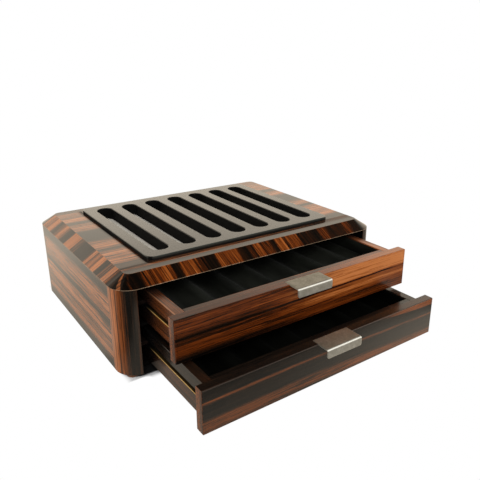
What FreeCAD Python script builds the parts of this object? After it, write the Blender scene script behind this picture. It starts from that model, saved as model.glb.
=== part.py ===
import FreeCAD, Part
import math
import os
import Sketcher

# Collector's pen chest: a veneered case with a slotted pen tray on top and two drawers below.
# X runs along the front (left to right), Y runs from the front to the back, Z runs up.
# Both drawers are drawn pulled out; the lower one is out further than the upper one.
# The origin is on the table, under the middle of the whole chest with its drawers out.
# Lengths are in millimetres.

os.makedirs("parts", exist_ok=True)
doc = FreeCAD.newDocument("PenChest")
sheet = doc.addObject("Spreadsheet::Sheet", "Dimensions")

DIMENSIONS = [
    # case
    ("case_width", 330.0),
    ("case_depth", 264.0),
    ("foot_height", 2.5),
    ("case_height", 100.0),      # underside of the boards to the wooden top face
    ("corner_radius", 22.0),
    ("bevel_run", 15.6),         # width of the bevel, seen from above
    ("bevel_drop", 10.0),        # height of the bevel
    ("top_thickness", 10.4),
    ("side_thickness", 19.0),
    ("post_depth", 25.0),
    ("back_thickness", 10.0),
    ("bottom_thickness", 4.5),
    ("panel_setback", 14.0),     # bottom and dust panels stay behind the closed drawer fronts
    ("dust_level", 43.6),
    ("dust_thickness", 2.6),
    # pen tray in the top
    ("tray_width", 237.2),
    ("tray_depth", 203.4),
    ("tray_shift", 3.1),         # the tray sits a little behind the middle of the case
    ("tray_rise", 3.7),          # how far it stands above the wooden top
    ("tray_corner", 9.0),
    ("tray_gap", 0.1),
    ("tray_round", 0.8),
    ("floor_thickness", 3.0),
    ("floor_margin", 7.0),
    ("slot_count", 7),
    ("slot_pitch", 32.05),
    ("slot_width", 19.0),
    ("slot_length", 175.0),
    # drawers
    ("front_width", 287.2),
    ("front_thickness", 10.6),
    ("front_round", 0.8),
    ("upper_front_base", 44.7),
    ("upper_front_height", 42.2),
    ("lower_front_base", 1.5),
    ("lower_front_height", 42.1),
    ("box_width", 269.2),
    ("box_length", 238.0),       # behind the front board
    ("wall_thickness", 9.9),
    ("upper_box_base", 48.6),
    ("upper_box_height", 35.1),
    ("lower_box_base", 4.7),
    ("lower_box_height", 34.7),
    ("drawer_bottom", 4.0),
    ("upper_open", 67.9),        # how far the front stands out of the case
    ("lower_open", 111.4),
    # grooves, brass strips and runners
    ("groove_base", 16.8),       # above the underside of the drawer box
    ("groove_height", 5.2),
    ("groove_depth", 4.5),
    ("strip_thickness", 1.0),
    ("strip_proud", 0.3),
    ("strip_gap", 0.1),
    ("runner_gap", 0.1),
    ("runner_height", 3.8),
    ("runner_reach", 3.6),       # how far a runner enters its groove
    # velvet
    ("lining_thickness", 1.6),
    ("lining_drop", 0.6),        # lining stops this far below the rim
    ("pad_drop", 8.0),           # ridges of the pad, below the rim
    ("soft_gap", 0.3),
    ("channel_count", 7),
    ("channel_pitch", 34.8),
    ("channel_radius", 14.0),
    ("channel_depth", 8.5),
    # pulls
    ("pull_width", 43.1),
    ("pull_thickness", 1.6),
    ("pull_back", 8.6),          # how far the tab lies back over the front board
    ("pull_reach", 13.2),        # how far it stands out in front
    ("pull_drop", 9.5),
    ("pull_set", 1.4),           # how deep the tab is let into the front's top edge
    ("pull_gap", 0.1),
    ("pull_bend", 2.6),
    ("pull_corner", 2.4),
    ("stud_radius", 1.5),
    ("stud_length", 8.0),
    ("stud_row", 4.9),           # behind the front face
    ("stud_spacing", 26.0),
    ("stud_hole", 1.55),
    # catches and feet
    ("catch_radius", 1.5),
    ("catch_hole", 1.55),
    ("catch_length", 3.0),
    ("catch_inset", 3.1),        # behind the case front
    ("upper_catch", 62.5),
    ("lower_catch", 19.5),
    ("foot_radius", 6.0),
    ("foot_inset_x", 12.0),
    ("foot_inset_y", 9.6),
    ("foot_stud", 2.0),
    ("foot_stud_length", 5.0),
    ("foot_hole", 2.05),
    ("hole_spare", 0.2),         # a hole is this much deeper than its pin
]


class Dim:
    """A length that knows both its value and the spreadsheet expression it comes from."""

    def __init__(self, value, text):
        self.value = float(value)
        self.text = text

    def _pair(self, other):
        return other if isinstance(other, Dim) else Dim(other, repr(float(other)))

    def __add__(self, other):
        o = self._pair(other)
        return Dim(self.value + o.value, "(%s + %s)" % (self.text, o.text))

    def __sub__(self, other):
        o = self._pair(other)
        return Dim(self.value - o.value, "(%s - %s)" % (self.text, o.text))

    def __mul__(self, other):
        o = self._pair(other)
        return Dim(self.value * o.value, "(%s * %s)" % (self.text, o.text))

    def __truediv__(self, other):
        o = self._pair(other)
        return Dim(self.value / o.value, "(%s / %s)" % (self.text, o.text))

    def __neg__(self):
        return Dim(-self.value, "(0 - %s)" % self.text)

    __radd__ = __add__
    __rmul__ = __mul__


ZERO = Dim(0.0, "0")
D = {}
for row, (alias, value) in enumerate(DIMENSIONS, start=1):
    sheet.set("A%d" % row, alias)
    sheet.set("B%d" % row, "%g" % value)
    sheet.setAlias("B%d" % row, alias)
    D[alias] = Dim(value, "Dimensions.%s" % alias)
doc.recompute()

HALF_W = D["case_width"] / 2
HALF_D = D["case_depth"] / 2
BASE = D["foot_height"]
SHIFT = (D["lower_open"] + D["pull_reach"]) / 2   # case middle, behind the origin
PARTS = []
CLOSE = 0.01         # two positions this near each other are the same
LOOSE = 0.1          # enough to tell the bevel's two lengths apart
LONG_EDGE = 20.0     # edges that run along a whole piece are longer than this
SHORT_EDGE = 0.5     # shorter upright edges are left alone
HALF_TURN = 1.999    # chord over radius from which an arc counts as half a turn


# --- helpers ---------------------------------------------------------------------------------

def bind(obj, name, dim):
    """Give a property its value and tie it to the spreadsheet."""
    obj.setExpression(name, dim.text)


def place(obj, x, y, z, turn=0.0):
    """Bound placement of a sub-part, measured from the middle of the case, turned about Z."""
    y = y + SHIFT
    if turn:
        rotation = FreeCAD.Rotation(FreeCAD.Vector(0, 0, 1), turn)
        obj.Placement = FreeCAD.Placement(FreeCAD.Vector(x.value, y.value, z.value), rotation)
    bind(obj, "Placement.Base.x", x)
    bind(obj, "Placement.Base.y", y)
    bind(obj, "Placement.Base.z", z)
    return obj


def keep(obj, label):
    """Mark an object as a finished sub-part."""
    obj.Label = label
    PARTS.append(obj)
    return obj


def board(label, width, depth, height, x, y, z):
    """A plain board, given by its sizes and its low corner."""
    box = doc.addObject("Part::Box", label + "_board")
    bind(box, "Length", width)
    bind(box, "Width", depth)
    bind(box, "Height", height)
    place(box, x, y, z)
    return keep(box, label)


def new_body(label):
    return doc.addObject("PartDesign::Body", label + "_body")


def sketch_on(body, role, name, offset=None):
    """A sketch on one of the body's own origin planes, moved along its normal by offset."""
    plane = [p for p in body.Origin.OriginFeatures if p.Role == role][0]
    sk = body.newObject("Sketcher::SketchObject", name)
    sk.AttachmentSupport = (plane, [""])
    sk.MapMode = "FlatFace"
    if offset is not None:
        sk.setExpression("AttachmentOffset.Base.z", offset.text)
    return sk


def arc_between(a, b, centre, radius):
    """The shorter arc from a to b (a half turn bulges away from the chord's left), drawn
    anticlockwise, and whether it starts at a."""
    start = math.atan2(a.y - centre.y, a.x - centre.x)
    end = math.atan2(b.y - centre.y, b.x - centre.x)
    forward = (end - start) % (2 * math.pi) <= math.pi + 1e-6
    if not forward:
        start, end = end, start
    if end < start:
        end += 2 * math.pi
    ring = Part.Circle(centre, FreeCAD.Vector(0, 0, 1), radius)
    return Part.ArcOfCircle(ring, start, end), forward


def outline(sk, points, arcs=None):
    """Closed outline through points, each (u, v); arcs maps a side's number to (centre, radius)."""
    arcs = arcs or {}
    count = len(points)
    vec = [FreeCAD.Vector(u.value, v.value, 0) for u, v in points]
    ends = []
    for i in range(count):
        a, b = vec[i], vec[(i + 1) % count]
        forward = True
        if i in arcs:
            (cu, cv), radius = arcs[i]
            centre = FreeCAD.Vector(cu.value, cv.value, 0)
            curve, forward = arc_between(a, b, centre, radius.value)
            sk.addGeometry(curve, False)
        else:
            sk.addGeometry(Part.LineSegment(a, b), False)
        ends.append((1, 2) if forward else (2, 1))
    for i in range(count):
        j = (i + 1) % count
        sk.addConstraint(Sketcher.Constraint("Coincident", i, ends[i][1], j, ends[j][0]))
    for i, (u, v) in enumerate(points):
        for kind, dim in (("DistanceX", u), ("DistanceY", v)):
            n = sk.addConstraint(Sketcher.Constraint(kind, -1, 1, i, ends[i][0], dim.value))
            sk.setExpression("Constraints[%d]" % n, dim.text)
    for i, ((cu, cv), radius) in arcs.items():
        chord = vec[(i + 1) % count] - vec[i]
        if chord.Length < HALF_TURN * radius.value:
            n = sk.addConstraint(Sketcher.Constraint("Radius", i, radius.value))
            sk.setExpression("Constraints[%d]" % n, radius.text)
        else:  # half a turn: the centre is set across the chord instead
            kind, dim = ("DistanceY", cv) if abs(chord.x) > abs(chord.y) else ("DistanceX", cu)
            n = sk.addConstraint(Sketcher.Constraint(kind, -1, 1, i, 3, dim.value))
            sk.setExpression("Constraints[%d]" % n, dim.text)
    return sk


def rectangle(sk, u0, v0, u1, v1):
    return outline(sk, [(u0, v0), (u1, v0), (u1, v1), (u0, v1)])


def circle(sk, u, v, radius):
    centre = FreeCAD.Vector(u.value, v.value, 0)
    sk.addGeometry(Part.Circle(centre, FreeCAD.Vector(0, 0, 1), radius.value), False)
    for kind, dim in (("DistanceX", u), ("DistanceY", v)):
        n = sk.addConstraint(Sketcher.Constraint(kind, -1, 1, 0, 3, dim.value))
        sk.setExpression("Constraints[%d]" % n, dim.text)
    n = sk.addConstraint(Sketcher.Constraint("Radius", 0, radius.value))
    sk.setExpression("Constraints[%d]" % n, radius.text)
    return sk


def pad(body, sk, length, name, midplane=False, reverse=False):
    feature = body.newObject("PartDesign::Pad", name)
    feature.Profile = sk
    feature.Midplane = midplane
    feature.Reversed = reverse
    bind(feature, "Length", length)
    doc.recompute()
    return feature


def pocket(body, sk, depth, name, through=False, midplane=False):
    """Cut a sketch into the body; the direction is turned if the first one removes nothing."""
    before = body.Shape.Volume
    feature = body.newObject("PartDesign::Pocket", name)
    feature.Profile = sk
    feature.Midplane = midplane
    if through:
        feature.Type = "ThroughAll"
    else:
        bind(feature, "Length", depth)
    doc.recompute()
    if not body.Shape.Volume < before - 1e-3:
        feature.Reversed = True
        doc.recompute()
    if not body.Shape.Volume < before - 1e-3:
        raise RuntimeError("pocket %s removes nothing" % name)
    return feature


def dress(body, kind, picks, name):
    """A fillet or chamfer on the edges of the body's shape that picks accepts."""
    shape = body.Shape
    edges = ["Edge%d" % n for n, e in enumerate(shape.Edges, start=1) if picks(e)]
    if not edges:
        raise RuntimeError("no edges for %s" % name)
    tip = body.Tip
    feature = body.newObject("PartDesign::" + kind, name)
    feature.Base = (tip, edges)
    return feature


def fillet(body, radius, picks, name):
    feature = dress(body, "Fillet", picks, name)
    bind(feature, "Radius", radius)
    doc.recompute()
    return feature


def near(a, b, tol=CLOSE):
    return abs(a - b) < tol


def upright(edge):
    """True for a straight edge parallel to Z."""
    if len(edge.Vertexes) != 2:
        return False
    a, b = edge.Vertexes[0].Point, edge.Vertexes[1].Point
    return near(a.x, b.x) and near(a.y, b.y) and abs(a.z - b.z) > SHORT_EDGE


def at_level(edge, z):
    box = edge.BoundBox
    return near(box.ZMin, z) and near(box.ZMax, z)


# --- case ------------------------------------------------------------------------------------

wall_height = D["case_height"] - D["top_thickness"]
side_length = D["case_depth"] - D["post_depth"] * 2
for label, x in (("left_side_panel", -HALF_W), ("right_side_panel", HALF_W - D["side_thickness"])):
    board(label, D["side_thickness"], side_length, wall_height,
          x, D["post_depth"] - HALF_D, BASE)

inner_half = HALF_W - D["side_thickness"]
board("back_panel", inner_half * 2, D["back_thickness"], wall_height,
      -inner_half, HALF_D - D["back_thickness"], BASE)
panel_depth = D["case_depth"] - D["panel_setback"] - D["back_thickness"]
board("bottom_panel", inner_half * 2, panel_depth, D["bottom_thickness"],
      -inner_half, D["panel_setback"] - HALF_D, BASE)
board("dust_panel", inner_half * 2, panel_depth, D["dust_thickness"],
      -inner_half, D["panel_setback"] - HALF_D, BASE + D["dust_level"])

# Rounded posts: the outer corner is an arc whose centre lies inside the case.
reach = math.sqrt(D["corner_radius"].value ** 2
                  - (D["corner_radius"].value - D["side_thickness"].value) ** 2)
arc_root = Dim(reach, "sqrt(%s ^ 2 - (%s - %s) ^ 2)" % (
    D["corner_radius"].text, D["corner_radius"].text, D["side_thickness"].text))
for label, sx, sy in (("front_left_post", 1, 1), ("front_right_post", -1, 1),
                      ("back_left_post", 1, -1), ("back_right_post", -1, -1)):
    body = new_body(label)
    post = sketch_on(body, "XY_Plane", label + "_plan")
    radius = D["corner_radius"]
    inside = D["side_thickness"] * sx
    outline(post,
            [(ZERO, radius * sy), (inside, (radius - arc_root) * sy),
             (inside, D["post_depth"] * sy), (ZERO, D["post_depth"] * sy)],
            {0: ((radius * sx, radius * sy), radius)})
    pad(body, post, wall_height, label + "_pad")
    stud = sketch_on(body, "XY_Plane", label + "_foot_plan")
    circle(stud, D["foot_inset_x"] * sx, D["foot_inset_y"] * sy, D["foot_hole"])
    pocket(body, stud, D["foot_stud_length"] + D["hole_spare"], label + "_foot_hole")
    if sy == 1:
        for row in ("upper_catch", "lower_catch"):
            hole = sketch_on(body, "YZ_Plane", label + "_" + row, inside)
            circle(hole, D["catch_inset"], D[row], D["catch_hole"])
            pocket(body, hole, D["catch_length"] + D["hole_spare"], label + "_" + row + "_hole")
    place(body, HALF_W * -sx, HALF_D * -sy, BASE)
    keep(body, label)

# Bevelled top with the opening for the tray.
body = new_body("top_frame")
sk = sketch_on(body, "XY_Plane", "top_plan")
rectangle(sk, -HALF_W, -HALF_D, HALF_W, HALF_D)
pad(body, sk, D["top_thickness"], "top_pad")
fillet(body, D["corner_radius"], upright, "top_corners")
top_z = D["top_thickness"].value
bevel = dress(body, "Chamfer", lambda e: at_level(e, top_z), "top_bevel")
bevel.ChamferType = "Two distances"
bind(bevel, "Size", D["bevel_run"])
bind(bevel, "Size2", D["bevel_drop"])
doc.recompute()
wide = (D["case_width"].value - 2 * D["bevel_run"].value)
top_faces = [f for f in body.Shape.Faces if near(f.BoundBox.ZMin, top_z)]
if not near(top_faces[0].BoundBox.XLength, wide, LOOSE):
    bevel.FlipDirection = True
    doc.recompute()
open_half_w = D["tray_width"] / 2 + D["tray_gap"]
open_half_d = D["tray_depth"] / 2 + D["tray_gap"]
sk = sketch_on(body, "XY_Plane", "tray_opening_plan")
rectangle(sk, -open_half_w, D["tray_shift"] - open_half_d, open_half_w, D["tray_shift"] + open_half_d)
pocket(body, sk, None, "tray_opening", through=True)
fillet(body, D["tray_corner"] + D["tray_gap"],
       lambda e: upright(e) and near(abs(e.CenterOfMass.x), open_half_w.value), "opening_corners")
place(body, ZERO, ZERO, BASE + wall_height)
keep(body, "top_frame")

# Black tray plate: one slot, repeated along the front.
body = new_body("tray_plate")
sk = sketch_on(body, "XY_Plane", "tray_plan")
half_w, half_d = D["tray_width"] / 2, D["tray_depth"] / 2
rectangle(sk, -half_w, -half_d, half_w, half_d)
plate_thickness = D["top_thickness"] + D["tray_rise"]
pad(body, sk, plate_thickness, "tray_pad")
fillet(body, D["tray_corner"], upright, "tray_corners")
sk = sketch_on(body, "XY_Plane", "slot_plan")
slot_r = D["slot_width"] / 2
first = -(D["slot_pitch"] * (D["slot_count"] - 1) / 2)
run = D["slot_length"] / 2 - slot_r
outline(sk,
        [(first - slot_r, -run), (first + slot_r, -run), (first + slot_r, run), (first - slot_r, run)],
        {0: ((first, -run), slot_r), 2: ((first, run), slot_r)})
slot = pocket(body, sk, None, "slot", through=True)
row = body.newObject("PartDesign::LinearPattern", "slot_row")
row.Originals = [slot]
row.Direction = (sk, ["H_Axis"])
bind(row, "Length", D["slot_pitch"] * (D["slot_count"] - 1))
bind(row, "Occurrences", D["slot_count"])
body.Tip = row
doc.recompute()
fillet(body, D["tray_round"], lambda e: at_level(e, plate_thickness.value), "tray_edges")
place(body, ZERO, D["tray_shift"], BASE + wall_height)
keep(body, "tray_plate")

floor_w = D["tray_width"] + D["floor_margin"] * 2
floor_d = D["tray_depth"] + D["floor_margin"] * 2
board("tray_floor", floor_w, floor_d, D["floor_thickness"],
      -floor_w / 2, D["tray_shift"] - floor_d / 2, BASE + wall_height - D["floor_thickness"])

# Runners, catches and feet.
box_half = D["box_width"] / 2
runner_width = inner_half - box_half + D["runner_reach"]
runner_length = D["case_depth"] - D["panel_setback"] - D["back_thickness"]
for tier in ("upper", "lower"):
    level = BASE + D[tier + "_box_base"] + D["groove_base"] + D["groove_height"]
    level = level - D["runner_gap"] - D["runner_height"]
    for side, x in (("left", -inner_half), ("right", inner_half - runner_width)):
        board("%s_%s_runner" % (tier, side), runner_width, runner_length, D["runner_height"],
              x, D["panel_setback"] - HALF_D, level)

for tier in ("upper", "lower"):
    for side, sx in (("left", 1), ("right", -1)):
        name = "catch_%s_%s" % (tier, side)
        shank = doc.addObject("Part::Cylinder", name + "_shank")
        bind(shank, "Radius", D["catch_radius"])
        bind(shank, "Height", D["catch_length"])
        shank.Placement.Rotation = FreeCAD.Rotation(FreeCAD.Vector(0, 1, 0), -90 * sx)
        dome = doc.addObject("Part::Sphere", name + "_dome")
        bind(dome, "Radius", D["catch_radius"])
        pin = doc.addObject("Part::Fuse", name + "_pin")
        pin.Base = shank
        pin.Tool = dome
        pin.Refine = True
        place(pin, inner_half * -sx, D["catch_inset"] - HALF_D, BASE + D[tier + "_catch"])
        keep(pin, name)

for label, sx, sy in (("foot_front_left", 1, 1), ("foot_front_right", -1, 1),
                      ("foot_back_left", 1, -1), ("foot_back_right", -1, -1)):
    body = new_body(label)
    sk = sketch_on(body, "XY_Plane", label + "_plan")
    circle(sk, ZERO, ZERO, D["foot_radius"])
    pad(body, sk, D["foot_height"], label + "_pad")
    sk = sketch_on(body, "XY_Plane", label + "_stud_plan")
    circle(sk, ZERO, ZERO, D["foot_stud"])
    pad(body, sk, D["foot_height"] + D["foot_stud_length"], label + "_stud")
    place(body, (D["foot_inset_x"] - HALF_W) * sx, (D["foot_inset_y"] - HALF_D) * sy, ZERO)
    keep(body, label)


# --- drawers ---------------------------------------------------------------------------------

def drawer(tier):
    """All the pieces of one drawer, drawn where it stands open."""
    front_y = -HALF_D - D[tier + "_open"]
    front_z = BASE + D[tier + "_front_base"]
    front_h = D[tier + "_front_height"]
    box_y = front_y + D["front_thickness"]
    box_z = BASE + D[tier + "_box_base"]
    box_h = D[tier + "_box_height"]
    half_front = D["front_width"] / 2
    wall = D["wall_thickness"]
    inner_half_box = box_half - wall
    prefix = tier + "_drawer_"

    # Front board with eased edges, a seat for the pull's tab and two holes for its studs.
    front = new_body(prefix + "front")
    plan = sketch_on(front, "XY_Plane", prefix + "front_plan")
    rectangle(plan, -half_front, ZERO, half_front, D["front_thickness"])
    pad(front, plan, front_h, prefix + "front_pad")
    fillet(front, D["front_round"], lambda e: True, prefix + "front_edges")
    seat = sketch_on(front, "XY_Plane", prefix + "pull_seat_plan", front_h)
    seat_half = D["pull_width"] / 2 + D["pull_gap"]
    rectangle(seat, -seat_half, -D["pull_thickness"], seat_half, D["pull_back"] + D["pull_gap"])
    pocket(front, seat, D["pull_set"], prefix + "pull_seat")
    seat_z = front_h - D["pull_set"]
    for n, x in enumerate((-D["stud_spacing"] / 2, D["stud_spacing"] / 2)):
        hole = sketch_on(front, "XY_Plane", "%shole_%d_plan" % (prefix, n), seat_z)
        circle(hole, x, D["stud_row"], D["stud_hole"])
        pocket(front, hole, D["stud_length"] + D["hole_spare"], "%shole_%d" % (prefix, n))
    place(front, ZERO, front_y, front_z)
    keep(front, prefix + "front")

    # Box: inner front and back between the grooved sides, and a bottom let in between them.
    inner_y = box_y + wall
    board(prefix + "inner_front", inner_half_box * 2, wall, box_h, -inner_half_box, box_y, box_z)
    board(prefix + "back", inner_half_box * 2, wall, box_h,
          -inner_half_box, box_y + D["box_length"] - wall, box_z)
    inside_length = D["box_length"] - wall * 2
    board(prefix + "bottom", inner_half_box * 2, inside_length, D["drawer_bottom"],
          -inner_half_box, inner_y, box_z)

    groove_low = D["groove_base"]
    groove_high = D["groove_base"] + D["groove_height"]
    depth = D["groove_depth"]
    for side, sx in (("left", 1), ("right", -1)):
        body = new_body(prefix + side + "_side")
        section = sketch_on(body, "XZ_Plane", prefix + side + "_section")
        outline(section, [
            (ZERO, ZERO), (wall, ZERO), (wall, box_h), (ZERO, box_h),
            (ZERO, groove_high), (depth, groove_high), (depth, groove_low), (ZERO, groove_low)])
        pad(body, section, D["box_length"], prefix + side + "_pad", reverse=True)
        rim = box_h.value
        fillet(body, D["front_round"],
               lambda e: at_level(e, rim) and e.Length > LONG_EDGE, prefix + side + "_rim")
        if sx == 1:
            place(body, -box_half, box_y, box_z)
        else:
            place(body, box_half, box_y + D["box_length"], box_z, turn=180)
        keep(body, prefix + side + "_side")
        strip_width = depth - D["strip_gap"] + D["strip_proud"]
        x = -box_half - D["strip_proud"] if sx == 1 else box_half + D["strip_proud"] - strip_width
        board(prefix + side + "_strip", strip_width, D["box_length"], D["strip_thickness"],
              x, box_y, box_z + D["groove_base"])

    # Velvet: a lining round the walls and a pad with channels for the pens.
    soft = D["soft_gap"]
    line_half = inner_half_box - soft
    line_y0 = inner_y + soft
    line_len = inside_length - soft * 2
    line_base = D["drawer_bottom"] + soft
    line_height = box_h - D["lining_drop"] - line_base
    ring = new_body(prefix + "lining")
    plan = sketch_on(ring, "XY_Plane", prefix + "lining_plan")
    rectangle(plan, -line_half, ZERO, line_half, line_len)
    pad(ring, plan, line_height, prefix + "lining_pad")
    hole = sketch_on(ring, "XY_Plane", prefix + "lining_hole_plan")
    skin = D["lining_thickness"]
    rectangle(hole, skin - line_half, skin, line_half - skin, line_len - skin)
    pocket(ring, hole, None, prefix + "lining_hole", through=True)
    place(ring, ZERO, line_y0, box_z + line_base)
    keep(ring, prefix + "lining")

    cushion = new_body(prefix + "pen_pad")
    pad_half = line_half - skin - soft
    pad_len = line_len - (skin + soft) * 2
    pad_height = box_h - D["pad_drop"] - line_base
    plan = sketch_on(cushion, "XY_Plane", prefix + "pen_pad_plan")
    rectangle(plan, -pad_half, ZERO, pad_half, pad_len)
    pad(cushion, plan, pad_height, prefix + "pen_pad_block")
    section = sketch_on(cushion, "XZ_Plane", prefix + "channel_section")
    first_channel = -(D["channel_pitch"] * (D["channel_count"] - 1) / 2)
    circle(section, first_channel, pad_height + D["channel_radius"] - D["channel_depth"],
           D["channel_radius"])
    cut = pocket(cushion, section, None, prefix + "channel", through=True)
    channels = cushion.newObject("PartDesign::LinearPattern", prefix + "channels")
    channels.Originals = [cut]
    channels.Direction = (section, ["H_Axis"])
    bind(channels, "Length", D["channel_pitch"] * (D["channel_count"] - 1))
    bind(channels, "Occurrences", D["channel_count"])
    cushion.Tip = channels
    doc.recompute()
    place(cushion, ZERO, line_y0 + skin + soft, box_z + line_base)
    keep(cushion, prefix + "pen_pad")

    # Pull: a bent tab let into the front's top edge, with two studs down into it.
    pull = new_body(prefix + "pull")
    section = sketch_on(pull, "YZ_Plane", prefix + "pull_section")
    thick = D["pull_thickness"]
    back, nose, drop = D["pull_back"], -D["pull_reach"], D["pull_drop"]
    outline(section, [
        (back, ZERO), (back, thick), (nose, thick), (nose, thick - drop),
        (nose + thick, thick - drop), (nose + thick, ZERO)])
    pad(pull, section, D["pull_width"], prefix + "pull_pad", midplane=True)
    nose_y = nose.value
    fillet(pull, D["pull_bend"],
           lambda e: near(e.CenterOfMass.y, nose_y) and near(e.CenterOfMass.z, thick.value)
           and e.Length > LONG_EDGE, prefix + "pull_outer_bend")
    fillet(pull, D["pull_bend"] - thick,
           lambda e: near(e.CenterOfMass.y, nose_y + thick.value) and near(e.CenterOfMass.z, 0.0)
           and e.Length > LONG_EDGE, prefix + "pull_inner_bend")
    fillet(pull, D["pull_corner"],
           lambda e: near(e.CenterOfMass.z, thick.value - drop.value)
           and near(e.Length, thick.value), prefix + "pull_corners")
    for n, x in enumerate((-D["stud_spacing"] / 2, D["stud_spacing"] / 2)):
        stud = sketch_on(pull, "XY_Plane", "%sstud_%d_plan" % (prefix, n))
        circle(stud, x, D["stud_row"], D["stud_radius"])
        pad(pull, stud, D["stud_length"], "%sstud_%d" % (prefix, n), reverse=True)
    place(pull, ZERO, front_y, front_z + seat_z)
    keep(pull, prefix + "pull")


drawer("upper")
drawer("lower")


# --- check and export ------------------------------------------------------------------------

doc.recompute()
for obj in doc.Objects:
    if "Invalid" in obj.State or "Error" in obj.State:
        raise RuntimeError("%s is %s" % (obj.Name, obj.State))
for obj in PARTS:
    shape = obj.Shape
    if shape.isNull() or not shape.isValid() or len(shape.Solids) != 1:
        raise RuntimeError("%s has no single valid solid" % obj.Label)
    shape.exportStep("parts/%s.step" % obj.Label)
    box = shape.BoundBox
    print("%-28s x %7.1f %7.1f  y %7.1f %7.1f  z %6.1f %6.1f" % (
        obj.Label, box.XMin, box.XMax, box.YMin, box.YMax, box.ZMin, box.ZMax))
print("%d sub-parts" % len(PARTS))
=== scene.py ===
# %% [markdown]
# # A collector's pen chest
# The chest is a low wooden case with a black slotted tray on top and two velvet-lined drawers.
# Its hard parts come from the packed CAD model and stay exactly where they are. This lesson gives
# them their finishes, makes the soft parts and the bent metal pulls, and sets up a small studio.

# %% Load the packed chest
import math
from collections import namedtuple

import bmesh
import bpy
import numpy as np
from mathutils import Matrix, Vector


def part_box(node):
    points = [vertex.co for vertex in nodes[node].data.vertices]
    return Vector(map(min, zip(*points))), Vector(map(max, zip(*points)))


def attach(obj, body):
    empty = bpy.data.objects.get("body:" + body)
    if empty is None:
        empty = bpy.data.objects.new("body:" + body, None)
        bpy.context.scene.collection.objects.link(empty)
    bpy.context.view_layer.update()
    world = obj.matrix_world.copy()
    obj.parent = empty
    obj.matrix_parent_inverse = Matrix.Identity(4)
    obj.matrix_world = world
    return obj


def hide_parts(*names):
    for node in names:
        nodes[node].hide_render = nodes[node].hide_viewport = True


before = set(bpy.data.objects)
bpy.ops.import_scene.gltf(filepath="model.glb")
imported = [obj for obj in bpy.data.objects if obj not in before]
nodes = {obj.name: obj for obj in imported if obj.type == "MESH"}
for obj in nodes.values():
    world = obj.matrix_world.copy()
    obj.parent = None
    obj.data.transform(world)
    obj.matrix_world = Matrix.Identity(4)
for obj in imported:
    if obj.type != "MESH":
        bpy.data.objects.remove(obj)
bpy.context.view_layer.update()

MM = 0.001

# %% [markdown]
# ## The sizes we need
# Most sizes are read from CAD nodes' boxes, so the lesson still fits if the chest changes; a few,
# such as the corners' radius, are given as numbers.
# The finishes work in millimetres, because bands of veneer are easier to think of that way.

# %% Measure the chest
def box_mm(name):
    """Lowest and highest corner of a CAD node, in millimetres."""
    low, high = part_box(name)
    return np.array(low) / MM, np.array(high) / MM


top_low, top_high = box_mm("top_frame")
CASE_LEFT, CASE_FRONT, RIM_Z = top_low
CASE_RIGHT, CASE_BACK, TOP_Z = top_high
MIDDLE_Y = (CASE_FRONT + CASE_BACK) / 2
HALF_DEPTH = (CASE_BACK - CASE_FRONT) / 2
BEVEL_RUN = 15.6                 # from the rim in to the bevel's upper arris
CORNER_RADIUS = 22.0             # of the rim and of the posts
WALL = box_mm("front_left_post")[1][0] - CASE_LEFT
print("case from", CASE_FRONT, "to", CASE_BACK, "mm, top at", TOP_Z, "walls", WALL)

# %% [markdown]
# ## The camera
# The view is from the front left and a little above, about 40 mm lens on a 36 mm sensor.
# The camera stands level to within half a degree; a small shift puts the chest in the frame.

# %% Set up the camera
EYE = (-0.31243, -0.49920, 0.30433)    # m
TURN = math.radians(36.953)      # from +Y towards +X
TIP = math.radians(19.487)       # downwards
ROLL = math.radians(-0.638)
SENSOR = 36.0                    # mm
LENS = 40.178                    # mm
SHIFT = (-0.07236, -0.01155)     # shares of the frame's width
NEAREST = 0.01                   # m, what is nearer than this isn't drawn


def aim(turn, tip, roll):
    """Camera axes: right and down come from the forward direction, then both turn by the roll."""
    forward = np.array([math.sin(turn) * math.cos(tip), math.cos(turn) * math.cos(tip), -math.sin(tip)])
    right = np.array([math.cos(turn), -math.sin(turn), 0.0])
    down = np.cross(forward, right)
    turned_right = math.cos(roll) * right + math.sin(roll) * down
    turned_down = math.cos(roll) * down - math.sin(roll) * right
    return turned_right, -turned_down, -forward


camera_data = bpy.data.cameras.new("view")
camera_data.sensor_width = SENSOR
camera_data.lens = LENS
camera_data.shift_x, camera_data.shift_y = SHIFT
camera_data.clip_start = NEAREST
camera = bpy.data.objects.new("view", camera_data)
bpy.context.scene.collection.objects.link(camera)
matrix = np.eye(4)
matrix[:3, 0], matrix[:3, 1], matrix[:3, 2] = aim(TURN, TIP, ROLL)
matrix[:3, 3] = EYE
camera.matrix_world = [list(column) for column in matrix.T]
bpy.context.scene.camera = camera
bpy.context.scene.view_settings.view_transform = "Standard"
print("camera at", tuple(camera.location))

# %% [markdown]
# ## Writing shader maths as expressions
# A finish is a tree of nodes. Joining dozens of Math nodes by hand is hard to read, so a small
# class wraps a socket: adding or multiplying two wires adds the Math node that does it.
# Every other node comes from one method that takes its type, its settings and its inputs.

# %% A wire
DEGREES = 180.0 / math.pi        # in one radian


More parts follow.
